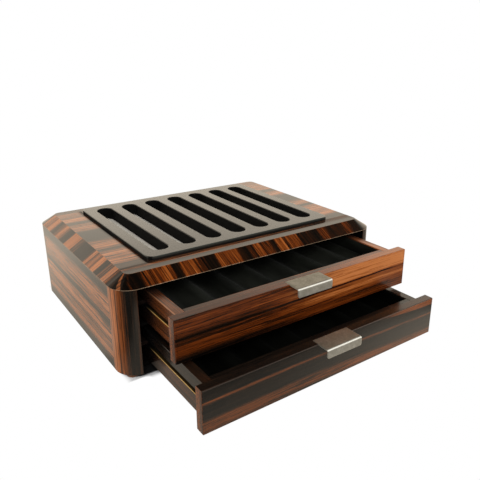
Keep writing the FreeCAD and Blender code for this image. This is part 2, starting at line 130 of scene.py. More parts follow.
class Wire:
    """A value or colour on its way between two nodes; arithmetic on it adds Math nodes."""

    def __init__(self, finish, socket):
        self.finish = finish
        self.socket = socket

    def _math(self, operation, *values):
        return self.finish.node("ShaderNodeMath", {"operation": operation}, values)

    def __add__(self, other):
        return self._math("ADD", self, other)

    def __sub__(self, other):
        return self._math("SUBTRACT", self, other)

    def __rsub__(self, other):
        return self._math("SUBTRACT", other, self)

    def __mul__(self, other):
        return self._math("MULTIPLY", self, other)

    def __truediv__(self, other):
        return self._math("DIVIDE", self, other)

    def __abs__(self):
        return self._math("ABSOLUTE", self)

    def over(self, other):
        """The larger of two values."""
        return self._math("MAXIMUM", self, other)

    def under(self, other):
        """The smaller of two values."""
        return self._math("MINIMUM", self, other)

    def root(self):
        """The square root."""
        return self._math("SQRT", self)

    def angle_to(self, other):
        """The angle, in radians, whose tangent is this value divided by the other."""
        return self._math("ARCTAN2", self, other)

    __radd__ = __add__
    __rmul__ = __mul__


print("a wire can", ", ".join(sorted(name for name in vars(Wire) if not name.startswith("_"))))

# %% A finish
MOST_STOPS = 30                  # on one colour ramp; Blender holds 32


class Finish:
    """One node tree while it is being made."""

    def __init__(self, name, tree=None):
        if tree is None:
            self.material = bpy.data.materials.new(name)
            self.material.use_nodes = True
            tree = self.material.node_tree
        self.tree = tree
        self.tree.nodes.clear()

    def node(self, kind, settings=None, values=(), out=0):
        """A node of one kind: settings first, then numbers or wires by socket name or number."""
        made = self.tree.nodes.new(kind)
        for key, value in (settings or {}).items():
            if key == "stops":
                self._lay_stops(made.color_ramp, value)
            else:
                setattr(made, key, value)
        for key, value in (values.items() if isinstance(values, dict) else enumerate(values)):
            if isinstance(value, Wire):
                self.tree.links.new(value.socket, made.inputs[key])
            else:
                made.inputs[key].default_value = value
        return Wire(self, made.outputs[out]) if len(made.outputs) else None

    @staticmethod
    def _lay_stops(ramp, stops):
        while len(ramp.elements) > 1:
            ramp.elements.remove(ramp.elements[-1])
        for n, (position, colour) in enumerate(stops):
            stop = ramp.elements[0] if n == 0 else ramp.elements.new(position)
            stop.position = position
            level = colour if isinstance(colour, tuple) else (colour,) * 3
            stop.color = (*level, 1.0)

    def where(self):
        """The place on the object: x, y and z in millimetres."""
        place = self.node("ShaderNodeTexCoord", out="Object")
        split = self.node("ShaderNodeSeparateXYZ", values=(place,))
        outputs = split.socket.node.outputs
        return tuple(Wire(self, outputs[n]) * (1 / MM) for n in range(3))

    def noise(self, u, v, w, detail=2.0, rough=0.5):
        """Smooth noise between 0 and 1; u, v and w are already scaled to one lump per unit."""
        place = self.node("ShaderNodeCombineXYZ", values=(u, v, w))
        return self.node("ShaderNodeTexNoise", {"noise_dimensions": "3D"},
                         {"Vector": place, "Scale": 1.0, "Detail": detail, "Roughness": rough})

    def ease(self, value, start, end):
        """0 before start, 1 after end, and a smooth step between them."""
        return self.node("ShaderNodeMapRange", {"interpolation_type": "SMOOTHSTEP"},
                         (value, start, end, 0.0, 1.0))

    def ramp(self, value, stops):
        """A colour ramp; its stops are (place, grey level) or (place, colour)."""
        return self.node("ShaderNodeValToRGB", {"stops": stops}, (value,))

    def mix(self, factor, first, second):
        """Colour first where factor is 0 and second where it is 1."""
        return self.node("ShaderNodeMix", {"data_type": "RGBA"},
                         {0: factor, 6: first, 7: second}, out=2)

    @staticmethod
    def pick(factor, first, second):
        """Number first where factor is 0 and second where it is 1."""
        return first + (second - first) * factor

    def laid(self, place, bands):
        """A tone given as a list: bands are (place, tone), straight in between. A long list takes
        several colour ramps, joined where they meet."""
        first, last = bands[0][0], bands[-1][0]
        share = (place - first) / (last - first)
        stops = [((at - first) / (last - first), tone) for at, tone in bands]
        tone = self.ramp(share, stops[:MOST_STOPS])
        for n in range(MOST_STOPS, len(stops), MOST_STOPS):
            piece = self.ramp(share, stops[n - 1:n + MOST_STOPS])
            beyond = self.node("ShaderNodeMath", {"operation": "GREATER_THAN"},
                               (share, stops[n - 1][0]))
            tone = self.pick(beyond, tone, piece)
        return tone

    def bump(self, height, depth):
        """Surface relief: height between 0 and 1, depth in metres."""
        return self.node("ShaderNodeBump", values={"Strength": 1.0, "Distance": depth, "Height": height})

    def shader(self, values):
        """The surface itself, and the finished material."""
        surface = self.node("ShaderNodeBsdfPrincipled", values=values)
        self.node("ShaderNodeOutputMaterial", values=(surface,))
        return self.material


print("a finish can", ", ".join(sorted(name for name in vars(Finish) if not name.startswith("_"))))

# %% [markdown]
# ## The studio
# The chest stands on a white sheet in front of a lit white wall, and the rest of the room is dim.
# That is what a lacquered box needs: the foot of the wall lies as a soft veil over the top, while
# the faces that look up or into the room stay deep. To the camera the sheet and the wall are plain
# white. Reflections see the wall fade upwards, and the sheet fade towards the front left. What
# varies over the wall or the sheet is only the factor between two plain shaders.

# %% How bright the room is
WALL_WHITE = (1.0, 0.885, 0.72, 1.0)
WALL_MOST = 1.4                  # the wall at its brightest, in plain whites
WALL_FADE = [(-90, 0.64), (0, 0.86), (14, 0.88), (18.5, 0.82), (21.5, 0.74), (24, 0.68), (26, 0.57),
             (29, 0.34), (33, 0.16), (42, 0.07), (60, 0.03), (90, 0.02)]
WALL_LEAN = 0.25                 # degrees that the fade rises per degree towards the right
ROOM_FRONT = 0.30                # the room behind the camera
SKY_LEVEL = 0.70                 # light that comes from all round
PLAIN_WHITE = (1.0, 1.0, 1.0, 1.0)


def rays(f):
    """Two wires: 1 for a ray from the camera itself, and 1 for a ray that came off a glossy surface
    or through a clear one."""
    light = f.node("ShaderNodeLightPath").socket.node.outputs
    camera_ray, glossy, clear = (Wire(f, light["Is " + kind + " Ray"])
                                 for kind in ("Camera", "Glossy", "Transmission"))
    return camera_ray, glossy.over(clear)


def glowing(f, kind, colour, strength):
    """A plain light of one colour and one strength; what varies is left to the mix that takes it."""
    return f.node(kind, values={"Color": colour, "Strength": strength})


def lit_by_share(f, kind, share, most):
    """Warm white at a share of its greatest strength, mixed with black."""
    return f.node("ShaderNodeMixShader", values=(share, glowing(f, kind, WALL_WHITE, 0.0),
                                                 glowing(f, kind, WALL_WHITE, most)))


print("the wall's brightest level:", round(max(share for angle, share in WALL_FADE) * WALL_MOST, 2))

# %% The room around the chest
world = bpy.data.worlds.new("studio")
bpy.context.scene.world = world
world.use_nodes = True
room = Finish("studio", world.node_tree)
direction = room.node("ShaderNodeTexCoord", out="Generated")
room_split = room.node("ShaderNodeSeparateXYZ", values=(direction,)).socket.node.outputs
east, north, up = (Wire(room, room_split[n]) for n in range(3))
height_angle = room.node("ShaderNodeMath", {"operation": "ARCSINE"}, (up,)) * DEGREES
side_angle = east.angle_to(north) * DEGREES
lifted = height_angle - (side_angle - 40.0).over(0.0).under(40.0) * WALL_LEAN
wall_level = room.laid(lifted, WALL_FADE) * (1.08 - 0.12 * room.ease(side_angle, 14.0, 34.0))
front_level = ROOM_FRONT / WALL_MOST * (1.0 - room.ease(up, 0.1, 0.7))
is_camera, is_mirror = rays(room)
level = room.pick(room.ease(north, -0.25, 0.25), front_level, wall_level)
mirrored = lit_by_share(room, "ShaderNodeBackground", level, WALL_MOST)
soft = glowing(room, "ShaderNodeBackground", PLAIN_WHITE, SKY_LEVEL)
sky = room.node("ShaderNodeMixShader", values=(is_mirror, soft, mirrored))
white = glowing(room, "ShaderNodeBackground", PLAIN_WHITE, 1.0)
sky = room.node("ShaderNodeMixShader", values=(is_camera, sky, white))
room.node("ShaderNodeOutputWorld", values=(sky,))
print("room ready")

# %% How far in from the case's outline
Rim = namedtuple("Rim", "inside side end beyond_x beyond_y")


def from_rim(x, y):
    """How far a place lies inside the case's outline, which has round corners: the radius less the
    distance from the corner's own middle. Also the way in from the side and from the end alone,
    and how far the place lies beyond the corner's middle towards each."""
    side = CASE_RIGHT - abs(x)
    end = HALF_DEPTH - abs(y - MIDDLE_Y)
    beyond_x = (CORNER_RADIUS - side).over(0.0)
    beyond_y = (CORNER_RADIUS - end).over(0.0)
    inside = CORNER_RADIUS - (beyond_x * beyond_x + beyond_y * beyond_y).root()
    return Rim(inside, side, end, beyond_x, beyond_y)


print("the outline's corners have a radius of", CORNER_RADIUS, "mm")

# %% How the white sheet looks
FLOOR_WHITE = (0.9, 0.9, 0.9, 1.0)
# near black: the inside of the case, glue lines, and the colour that painted shade is mixed towards
INSIDE_BLACK = (0.004, 0.004, 0.004, 1.0)
SHADOW_REACH = 8.0               # mm over which the sheet's shadow fades out round the case
SHADOW_SHIFT = -4.5              # on the left the fading starts twice this further in
PAINTED_SHADE_DEPTH = 3.0                # mm in from the case's outline to where the sheet's painted shade is full
PAINTED_SHADE_SHARE = 0.99                     # share of painted shade, a near-black cloth, mixed in under the case
sheet_front = box_mm("lower_drawer_front")[0][1]


def sheet_level(f, x, y):
    """How bright the sheet looks in a reflection. It is bright beside the case and more so behind
    it, bright in a strip before the lower drawer that widens to the right, and dim further out."""
    beside = f.ease(y, -70.0, 10.0) * (0.55 + 0.45 * f.ease(y, 60.0, 380.0))
    strip = 1.0 - f.ease(sheet_front - y, 20.0, 85.0)
    before = strip * f.ease(x, -240.0, -160.0) * (0.40 + 0.55 * f.ease(x, -80.0, 170.0))
    before = before * (1.0 - 0.65 * f.ease(x, 185.0, 225.0))
    return (0.08 + 0.3 * f.ease(x, 250.0, 400.0)).over(before).over(beside)


def floor_finish():
    """White to the camera away from the case; near it the sheet shows its real light and shadow,
    and under the case painted shade lies on it. Off the case's left corners the shadow ends sooner."""
    f = Finish("white_sheet")
    x, y, z = f.where()
    outside_x = (abs(x + SHADOW_SHIFT) - (CASE_RIGHT + SHADOW_SHIFT)).over(0.0)
    outside_y = (CASE_FRONT - y).over(y - CASE_BACK).over(0.0)
    at_left = 1.0 - f.ease(x, -149.0, -139.0)
    away = f.ease(outside_x.over(outside_y * (1.0 + 4.0 * at_left)), 0.0, SHADOW_REACH)
    painted_shade_under_case = f.ease(from_rim(x, y).inside, 0.0, PAINTED_SHADE_DEPTH) * PAINTED_SHADE_SHARE
    camera_ray, mirror_ray = rays(f)
    cloth = f.node("ShaderNodeBsdfDiffuse", values={"Color": FLOOR_WHITE})
    # painted shade: this near-black cloth stands for the shade under the case
    shade = f.node("ShaderNodeBsdfDiffuse", values={"Color": INSIDE_BLACK})
    cloth = f.node("ShaderNodeMixShader", values=(painted_shade_under_case, cloth, shade))
    mirrored = lit_by_share(f, "ShaderNodeEmission", sheet_level(f, x, y), 1.0)
    sheet = f.node("ShaderNodeMixShader", values=(mirror_ray, cloth, mirrored))
    white = glowing(f, "ShaderNodeEmission", PLAIN_WHITE, 1.0)
    sheet = f.node("ShaderNodeMixShader", values=(camera_ray * away, sheet, white))
    f.node("ShaderNodeOutputMaterial", values=(sheet,))
    return f.material


white_sheet = floor_finish()
print("sheet:", white_sheet.name)

# %% Lay the white sheet
FLOOR_HALF = 4.0                 # m
floor_mesh = bpy.data.meshes.new("floor")
floor_mesh.from_pydata([(-FLOOR_HALF, -FLOOR_HALF, 0), (FLOOR_HALF, -FLOOR_HALF, 0),
                        (FLOOR_HALF, FLOOR_HALF, 0), (-FLOOR_HALF, FLOOR_HALF, 0)], [], [(0, 1, 2, 3)])
floor_mesh.materials.append(white_sheet)
floor = bpy.data.objects.new("floor", floor_mesh)
bpy.context.scene.collection.objects.link(floor)
print("floor", FLOOR_HALF * 2, "m across")

# %% The lamps
LOOK_AT = (0.0, 0.02, 0.04)      # m


def softbox(name, place, size, watts):
    """A square white lamp that looks at the chest. Neither the camera nor a glossy surface sees
    it: what the lacquer mirrors is set by the room and the sheet alone."""
    data = bpy.data.lights.new(name, "AREA")
    data.shape = "RECTANGLE"
    data.size = data.size_y = size
    data.energy = watts
    lamp = bpy.data.objects.new(name, data)
    back = np.array(place) - np.array(LOOK_AT)
    back = back / np.linalg.norm(back)
    side = np.cross([0.0, 0.0, 1.0], back)
    side = side / np.linalg.norm(side)
    pose = np.eye(4)
    pose[:3, 0], pose[:3, 1], pose[:3, 2], pose[:3, 3] = side, np.cross(back, side), back, place
    lamp.matrix_world = [list(column) for column in pose.T]
    lamp.visible_camera = False
    lamp.visible_glossy = False
    bpy.context.scene.collection.objects.link(lamp)


softbox("key", (-0.7, -1.5, 1.5), 1.3, 16.0)
softbox("right_fill", (1.6, -1.1, 1.0), 1.2, 14.0)
print("two soft lamps")

# %% [markdown]
# ## Macassar ebony
# The veneer is nearly black heartwood with bands of orange brown that follow the grain. A picture
# of wood could not be turned round a corner or cut across a bevel, so the wood is worked out from
# the place on the chest. First comes a tone between 0, ink black, and 1, golden orange: its broad
# bands are listed one by one, as a veneer cutter picks the leaves. Then noise that is stretched along
# the grain adds streaks, hair lines and pores, and a colour ramp turns the tone into colour.

# %% Wood colours
EBONY_ORANGE = [(0.0, (0.0035, 0.0032, 0.0028)), (0.2, (0.013, 0.008, 0.005)),
                (0.4, (0.038, 0.014, 0.006)), (0.6, (0.098, 0.028, 0.008)),
                (0.8, (0.20, 0.052, 0.012)), (1.0, (0.37, 0.105, 0.026))]
EBONY_GOLD = [(0.0, (0.0022, 0.0014, 0.0009)), (0.2, (0.013, 0.0048, 0.0018)),
              (0.4, (0.044, 0.0095, 0.0016)), (0.6, (0.126, 0.025, 0.0032)),
              (0.8, (0.27, 0.068, 0.011)), (1.0, (0.50, 0.165, 0.042))]
EBONY_PALE = [(0.0, (0.004, 0.0036, 0.0032)), (0.2, (0.018, 0.011, 0.007)),
              (0.4, (0.062, 0.026, 0.012)), (0.6, (0.160, 0.052, 0.019)),
              (0.8, (0.33, 0.104, 0.034)), (1.0, (0.56, 0.18, 0.058))]
PORE_DEPTH = 0.00003             # m
LACQUER_IOR = 1.6
LACQUER = {"Coat Roughness": 0.07, "Coat IOR": LACQUER_IOR, "Specular IOR Level": 0.0}
SOFT_LACQUER = {**LACQUER, "Coat Roughness": 0.2}
print("three wood colours, from", len(EBONY_GOLD), "stops each")

# %% How grain is laid over a tone
def grained(f, along, across, depth, tone, stir=1.0, fine=1.0):
    """Tone plus streaks about 3 mm wide, hair lines and dark dashes under 1 mm wide, and short pores;
    all are noise whose lumps are many times longer along the grain than across it. Ink lines are
    where such a noise crosses its middle value. A higher fine makes all of them narrower."""
    across = across * fine
    depth = depth * fine
    streak = f.noise(along * 0.005, across * 0.33, depth * 0.33, detail=3.0)
    hair = f.noise(along * 0.012, across * 1.3, depth * 1.3, detail=2.0)
    dash = f.ease(f.noise(along * 0.05, across * 1.1, depth * 1.1 + 17.0, detail=2.0), 0.53, 0.61)
    pore = f.ease(f.noise(along * 0.16, across * 3.0, depth * 3.0), 0.60, 0.72)
    crossing = abs(f.noise(along * 0.0035, across * 0.21, depth * 0.21 + 5.0, detail=1.0) - 0.5)
    ink = 1.0 - f.ease(crossing, 0.010, 0.032)
    lively = (streak - 0.5) * 0.55 + (hair - 0.5) * 0.7 - (dash - 0.25) * 0.26 - (ink - 0.12) * 0.45
    return tone + lively * stir - pore * 0.12, pore


def wander(f, along, across, reach):
    """Bands are never straight: the place across the grain slides by about reach along it."""
    slow = f.noise(along * 0.008, across * 0.012, 3.7)
    quick = f.noise(along * 0.035, across * 0.05, 9.1)
    return across + (slow - 0.5) * (2.0 * reach) + (quick - 0.5) * (0.5 * reach)


def lacquered(f, colour, pore, coat=LACQUER, gloss=1.0):
    """Pores are a little rougher than the wood round them and sunk, under a clear gloss coat. Gloss
    is below 1 where polish doesn't reach."""
    return f.shader({"Base Color": colour, "Roughness": 0.38 + pore * 0.2,
                     "Normal": f.bump(1.0 - pore, PORE_DEPTH), "Coat Weight": gloss, **coat})


def wild(f, along, across, seed):
    """A figure where none is listed: noise across the grain is cut into bands, so its level
    lines become black streaks and its slopes become brown ones."""
    broad = f.noise(along * 0.0022, across * 0.045 + seed, seed, detail=2.0)
    return f.ramp(broad, [(0.30, 0.10), (0.36, 0.62), (0.42, 0.85), (0.455, 0.5), (0.47, 0.06), (0.50, 0.08),
                          (0.515, 0.6), (0.56, 0.88), (0.60, 0.66), (0.615, 0.15), (0.64, 0.1), (0.66, 0.7)])


print("wood helpers are ready")

# %% [markdown]
# ## The case
# On the side panels the grain runs from front to back, on the posts it stands upright, and the top
# has grain from left to right. Its bevel is cross-banded: short pieces of veneer whose grain runs
# down the slope, so black and orange blocks follow one another along the edge. The inside of the
# case is painted black.

# %% Side panels and back
SIDE_BANDS = [(2.5, 0.12), (5, 0.02), (8, 0.02), (11.5, 0.2), (13, 0.55), (17, 0.82), (20, 0.92),
              (22.5, 0.6), (26, 0.66), (29, 0.7), (31, 0.42), (33.5, 0.6), (36.5, 0.95), (41, 0.9),
              (47.5, 0.8), (49.5, 0.65), (51, 0.08), (53, 0.06), (54.5, 0.4), (56, 0.35), (58, 0.75),
              (61, 0.62), (63.5, 0.64), (66.5, 0.86), (73, 0.82), (79.5, 0.68), (81.5, 0.4),
              (83.5, 0.08), (88.5, 0.03), (92, 0.4)]
SIDE_TOP = 95.0                  # the right panel has the same leaf of veneer, turned over
FACE_MARGIN = 0.06               # mm that a face may lie off its own plane


def halves(f, x, y):
    """Two masks: 1 on the right half of the chest, and 1 on its back half."""
    return f.ease(x, -1.0, 1.0), f.ease(y, MIDDLE_Y - 1.0, MIDDLE_Y + 1.0)


def inside_mask(f, x):
    """1 on the faces that look into the case."""
    return f.ease(CASE_RIGHT - WALL + FACE_MARGIN - abs(x), 0.0, 0.05)


def side_finish():
    """Both panels have their bands by height; the right one has them from the top down."""
    f = Finish("ebony_veneer")
    x, y, z = f.where()
    right = halves(f, x, y)[0]
    across = wander(f, y, z, 1.6)
    turned = SIDE_TOP - wander(f, y + 90.0, z, 2.4)
    tone = f.pick(right, f.laid(across, SIDE_BANDS), f.laid(turned, SIDE_BANDS))
    tone, pore = grained(f, y, z, x * 0.02, tone, 0.9, 1.25)
    inner = inside_mask(f, x)
    colour = f.mix(inner, f.ramp(tone, EBONY_PALE), INSIDE_BLACK)
    return lacquered(f, colour, pore, gloss=1.0 - inner)


def back_finish():
    """The back has a figure of its own, and its inner face is black."""
    f = Finish("ebony_back_veneer")
    x, y, z = f.where()
    across = wander(f, x, z, 1.6)
    tone, pore = grained(f, x, z, y * 0.02, wild(f, x, across, 41.9))
    inner = 1.0 - f.ease(y, CASE_BACK - 1.0, CASE_BACK - 0.5)
    colour = f.mix(inner, f.ramp(tone, EBONY_ORANGE), INSIDE_BLACK)
    return lacquered(f, colour, pore, gloss=1.0 - inner)


side_wood = side_finish()
back_wood = back_finish()
print("sides and back:", side_wood.name, back_wood.name)

# %% Corner posts
POST_BANDS = [(-12, 0.75), (-3, 0.78), (0, 0.8), (5, 0.82), (8.5, 0.85), (9.6, 0.45), (10.6, 0.72),
              (13, 0.68), (16.5, 0.66), (18, 0.35), (20, 0.3), (21.5, 0.05), (25, 0.05), (26, 0.14),
              (28, 0.12), (30, 0.2), (32, 0.38), (34, 0.45), (40, 0.3)]


def post_finish():
    """The veneer goes round the post: the place across the grain is the length of the arc, which
    is the angle round the post's own middle times its radius, and a straight run on either side.
    Each post is cut from another place of the leaf, and the front left one has its bands laid."""
    f = Finish("ebony_upright")
    x, y, z = f.where()
    right, behind = halves(f, x, y)
    out_x = abs(x) - (CASE_RIGHT - CORNER_RADIUS)
    out_y = abs(y - MIDDLE_Y) - (HALF_DEPTH - CORNER_RADIUS)
    angle = out_y.over(0.0).angle_to(out_x.over(0.001))
    arc = angle * CORNER_RADIUS + out_y.under(0.0) + (0.0 - out_x).over(0.0)
    leaf = right * 31.0 + behind * 57.0
    across = wander(f, z + leaf, arc, 0.5)
    other = wild(f, z, across * 1.6 + leaf, 5.0) * (1.0 - 0.65 * right * (1.0 - behind))
    tone = f.pick((1.0 - right) * (1.0 - behind), other, f.laid(across, POST_BANDS))
    tone, pore = grained(f, z, arc + leaf, 1.0, tone, 0.75, 1.2)
    inner = inside_mask(f, x)
    colour = f.mix(f.ease(arc, 4.0, 16.0), f.ramp(tone, EBONY_PALE), f.ramp(tone, EBONY_ORANGE))
    colour = f.mix(inner, colour, INSIDE_BLACK)
    return lacquered(f, colour, pore, gloss=1.0 - inner)


post_wood = post_finish()
print("posts:", post_wood.name)

# %% Bands of the flat top
TOP_LEFT_BANDS = [(-68, 0.3), (-54, 0.45), (-52.5, 0.1), (-47, 0.12), (-45, 0.45), (-42, 0.5),
                  (-38, 0.3), (-29, 0.3), (-26, 0.3), (-21, 0.72), (-10, 0.8), (-7, 0.66), (0, 0.7),
                  (4, 0.8), (11, 0.76), (16, 0.55), (19, 0.25), (21, 0.25), (24, 0.55), (31, 0.8),
                  (36, 0.82), (42, 0.78), (46, 0.6), (51, 0.42), (54, 0.2), (58, 0.04), (86, 0.04),
                  (89, 0.28), (95, 0.6), (104, 0.84), (111, 0.8), (115, 0.6), (119, 0.45), (124, 0.2),
                  (127, 0.3), (131, 0.75), (141, 0.85), (146, 0.5), (151, 0.66), (156, 0.72),
                  (163, 0.6), (169, 0.3), (176, 0.3), (185, 0.5), (196, 0.3)]
TOP_RIGHT_BANDS = [(-68, 0.25), (-54, 0.3), (-52, 0.1), (-47, 0.1), (-45, 0.2), (-41.5, 0.4),
                   (-38, 0.35), (-28, 0.03), (-20, 0.5), (-12, 0.85), (-5, 0.6), (4, 0.8), (16, 0.8),
                   (24, 0.7), (28, 0.15), (33, 0.25), (38, 0.8), (47, 0.7), (56, 0.4), (60, 0.04),
                   (82, 0.03), (88, 0.45), (98, 0.9), (108, 0.65), (116, 0.25), (122, 0.25), (127, 0.8),
                   (138, 0.7), (152, 0.85), (164, 0.6), (176, 0.5), (196, 0.3)]
print("flat top:", len(TOP_LEFT_BANDS), "bands on the left,", len(TOP_RIGHT_BANDS), "on the right")

# %% Bands of the bevel
FRONT_BEVEL_BANDS = [(-170, 0.3), (-160, 0.2), (-157, 0.6), (-154, 0.15), (-150, 0.2), (-147, 0.04),
                     (-137, 0.04), (-135, 0.5), (-129, 0.68), (-127, 0.4), (-125, 0.42), (-123, 0.66),
                     (-119, 0.5), (-116.5, 0.5), (-115, 0.82), (-109, 0.7), (-105, 0.62),
                     (-103.5, 0.08), (-96.5, 0.1), (-95, 0.62), (-85, 0.58), (-83, 0.82), (-77.5, 0.68),
                     (-75.5, 0.3), (-69, 0.36), (-67.5, 0.07), (-56.5, 0.1), (-55, 0.66), (-48, 0.6),
                     (-44, 0.54), (-38, 0.6), (-34, 0.64), (-29, 0.58), (-27, 0.16), (-17, 0.14),
                     (-15.5, 0.4), (-9, 0.42), (-7.5, 0.68), (-1, 0.78), (0.5, 0.5), (7, 0.52),
                     (10, 0.62), (12, 0.55), (13.5, 0.34), (16, 0.15), (19.5, 0.14), (21, 0.68),
                     (27, 0.68), (32, 0.8), (33.2, 0.36), (35.2, 0.4), (36.5, 0.74), (41, 0.64),
                     (50.5, 0.64), (52.5, 0.2), (63, 0.15), (65, 0.36), (68, 0.34), (69.5, 0.14),
                     (79.5, 0.14), (82, 0.32), (84.5, 0.58), (90, 0.52), (94, 0.36), (97, 0.14),
                     (101, 0.27), (119.5, 0.25), (121, 0.46), (127, 0.56), (130, 0.4), (133, 0.16),
                     (144, 0.14), (147, 0.36), (156, 0.4), (162, 0.1)]
LEFT_BEVEL_BANDS = [(-68, 0.2), (-58, 0.08), (-44, 0.1), (-41, 0.35), (-37, 0.78), (-28.5, 0.8),
                    (-26.5, 0.45), (-18.5, 0.42), (-16.5, 0.15), (-8.5, 0.15), (-6.5, 0.8), (1, 0.92),
                    (3, 0.6), (6, 0.6), (9, 0.8), (13, 0.6), (16, 0.7), (21, 0.9), (23.5, 0.5),
                    (26, 0.36), (28, 0.05), (52, 0.08), (55, 0.2), (57.5, 0.42), (66.5, 0.42),
                    (68, 0.84), (87, 0.88), (89.5, 0.5), (92, 0.07), (102, 0.08), (105, 0.25),
                    (108, 0.55), (113, 0.88), (121, 0.75), (124, 0.5), (131, 0.4), (134, 0.15),
                    (137, 0.2), (140, 0.5), (143, 0.85), (152, 0.95), (154, 0.6), (162, 0.7),
                    (170, 0.85), (174, 0.2), (185, 0.1), (196, 0.6)]
CORNER_BANDS = [(-20, 0.1), (8, 0.14), (16, 0.03), (21, 0.05), (25, 0.62), (34, 0.66), (38, 0.06),
                (56, 0.03), (60, 0.3), (66, 0.34), (70, 0.03), (84, 0.04), (90, 0.05), (110, 0.05)]
print("bevel:", len(FRONT_BEVEL_BANDS), "bands in front,", len(LEFT_BEVEL_BANDS), "on the left")

# %% Grain on the bevel
BEVEL_LEAN = 0.12                # how far the bevel's grain leans off the slope's own line


def bevel_grain(f, x, y, z, rim, on_end):
    """On the bevel the grain runs down the slope, so its bands follow the edge: along x in front
    and behind, along y on the sides. The back and the right have the same leaves, turned round.
    A corner lies beyond both and has bands of its own, laid by the angle round its middle."""
    right, behind = halves(f, x, y)
    ragged = (f.noise(x * 0.5, y * 0.5, z * 0.5) - 0.5) * 1.6
    front_tone = f.laid(x + ragged, FRONT_BEVEL_BANDS)
    back_tone = f.laid((x + ragged) * -1.0, FRONT_BEVEL_BANDS)
    left_tone = f.laid(y + ragged, LEFT_BEVEL_BANDS)
    right_tone = f.laid(MIDDLE_Y * 2.0 - y + ragged, LEFT_BEVEL_BANDS)
    block = f.pick(on_end, f.pick(right, left_tone, right_tone), f.pick(behind, front_tone, back_tone))
    around = rim.beyond_y.angle_to(rim.beyond_x.over(0.001)) * DEGREES
    corner = f.laid(around + (rim.inside - 6.0) * 1.3 + ragged * 2.0, CORNER_BANDS)
    block = f.pick(f.ease(rim.beyond_x.under(rim.beyond_y), 0.0, 0.3), block, corner)
    end_tone, end_pore = grained(f, y, x + y * BEVEL_LEAN, 5.0, block * 1.04 - 0.12, 1.0, 1.5)
    side_tone, side_pore = grained(f, x, y + x * BEVEL_LEAN, 8.0, block, 0.9, 1.5)
    return f.pick(on_end, side_tone, end_tone), f.pick(on_end, side_pore, end_pore)


print("the bevel's grain leans by", BEVEL_LEAN)

# %% The top's finish
RIM_HIGHLIGHT_HEIGHT = 0.5                   # height of the painted highlight under the bevel
RIM_HIGHLIGHT_PALE = (0.56, 0.39, 0.25, 1.0)
RIM_HIGHLIGHT_BROWN = (0.42, 0.26, 0.15, 1.0)
ARRIS_HIGHLIGHT_BROWN = (0.36, 0.20, 0.11, 1.0)


def round_plate(f, x, y):
    """The plate stands proud of the top. Close to it the wood is darkened by painted shade, most of all
    on the left. There and in front, the wood mirrors the plate's dark edge where it would else mirror
    the wall, which is laid here as less gloss. Returns the painted shade and the gloss."""
    low, high = box_mm("tray_plate")
    off = (low[0] - x).over(x - high[0]).over(low[1] - y).over(y - high[1])
    close = 1.0 - f.ease(off, 0.5, 5.0)
    before = low[1] - y + f.ease(x, -60.0, 20.0) * 2.0
    in_front = (1.0 - f.ease(before, 5.0, 15.0)) * f.ease(before, 0.0, 1.0)
    beside = low[0] - x
    between_ends = f.ease(y, low[1] - 4.0, low[1] + 2.0) * (1.0 - f.ease(y, high[1] - 2.0, high[1] + 4.0))
    painted_shade_left = (1.0 - f.ease(beside, 0.5, 6.5)) * f.ease(beside, -0.5, 0.0) * between_ends
    # painted shade: near the plate, and most on its left, the wood is mixed towards black
    shade = 1.0 - (1.0 - close * 0.5) * (1.0 - painted_shade_left * 0.85)
    return shade, (1.0 - in_front * 0.5) * (1.0 - painted_shade_left * 0.6)


def top_finish():
    """The flat top has grain along x and the bevel has its own. A painted highlight runs along the
    bevel's upper arris and along the rim, and the face below the rim's edge is black."""
    f = Finish("ebony_top")
    x, y, z = f.where()
    rim = from_rim(x, y)
    on_end = f.ease(rim.side - rim.end, -0.2, 0.2)
    across = wander(f, x, y, 2.0)
    flat = f.pick(f.ease(x, -60.0, 60.0), f.laid(across, TOP_LEFT_BANDS), f.laid(across, TOP_RIGHT_BANDS))
    flat, flat_pore = grained(f, x, y, 2.0, flat, 0.9)
    bevel, bevel_pore = bevel_grain(f, x, y, z, rim, on_end)
    slope = 1.0 - f.ease(z, TOP_Z - 0.10, TOP_Z - 0.02)
    tone = f.pick(slope, flat, bevel)
    pore = f.pick(slope, flat_pore, bevel_pore)
    behind = halves(f, x, y)[1]
    on_front = slope * on_end * (1.0 - behind)
    colour = f.mix(on_front, f.ramp(tone, EBONY_PALE), f.ramp(tone, EBONY_GOLD))
    # painted highlight: a pale hair of colour where the bevel's upper arris would catch the light
    arris = f.ease(0.45 - abs(rim.inside - BEVEL_RUN), 0.0, 0.4) * 0.25
    colour = f.mix(arris, colour, ARRIS_HIGHLIGHT_BROWN)
    # painted highlight along the rim under the bevel, brighter over pale wood
    line = f.ease(RIM_Z + RIM_HIGHLIGHT_HEIGHT - z, 0.0, 0.1) * (0.5 + 0.4 * f.ease(tone, 0.3, 0.7))
    colour = f.mix(line, colour, f.mix(on_end, RIM_HIGHLIGHT_BROWN, RIM_HIGHLIGHT_PALE))
    # painted shade round the plate, and less gloss where the wood mirrors its edge
    shade, gloss = round_plate(f, x, y)
    colour = f.mix(shade, colour, INSIDE_BLACK)
    under = 1.0 - f.ease(z, RIM_Z + 0.02, RIM_Z + 0.12)
    colour = f.mix(under, colour, INSIDE_BLACK)
    return lacquered(f, colour, pore, gloss=gloss.under(1.0 - under))


top_wood = top_finish()
print("top:", top_wood.name)

# %% [markdown]
# ## The tray plate
# The plate is black lacquer, sprayed and polished: no grain shows, only the faint waviness that
# sprayed lacquer keeps and a few fine marks from use, which change how sharply it reflects. The
# slots could be cut after spraying, which leaves their walls matt.

# %% Black lacquer
LACQUER_BLACK = (0.0045, 0.0045, 0.0042, 1.0)
LACQUER_DUST = (0.014, 0.014, 0.013, 1.0)
EDGE_GREY = (0.030, 0.034, 0.030, 1.0)
WAVE_DEPTH = 0.00004             # m


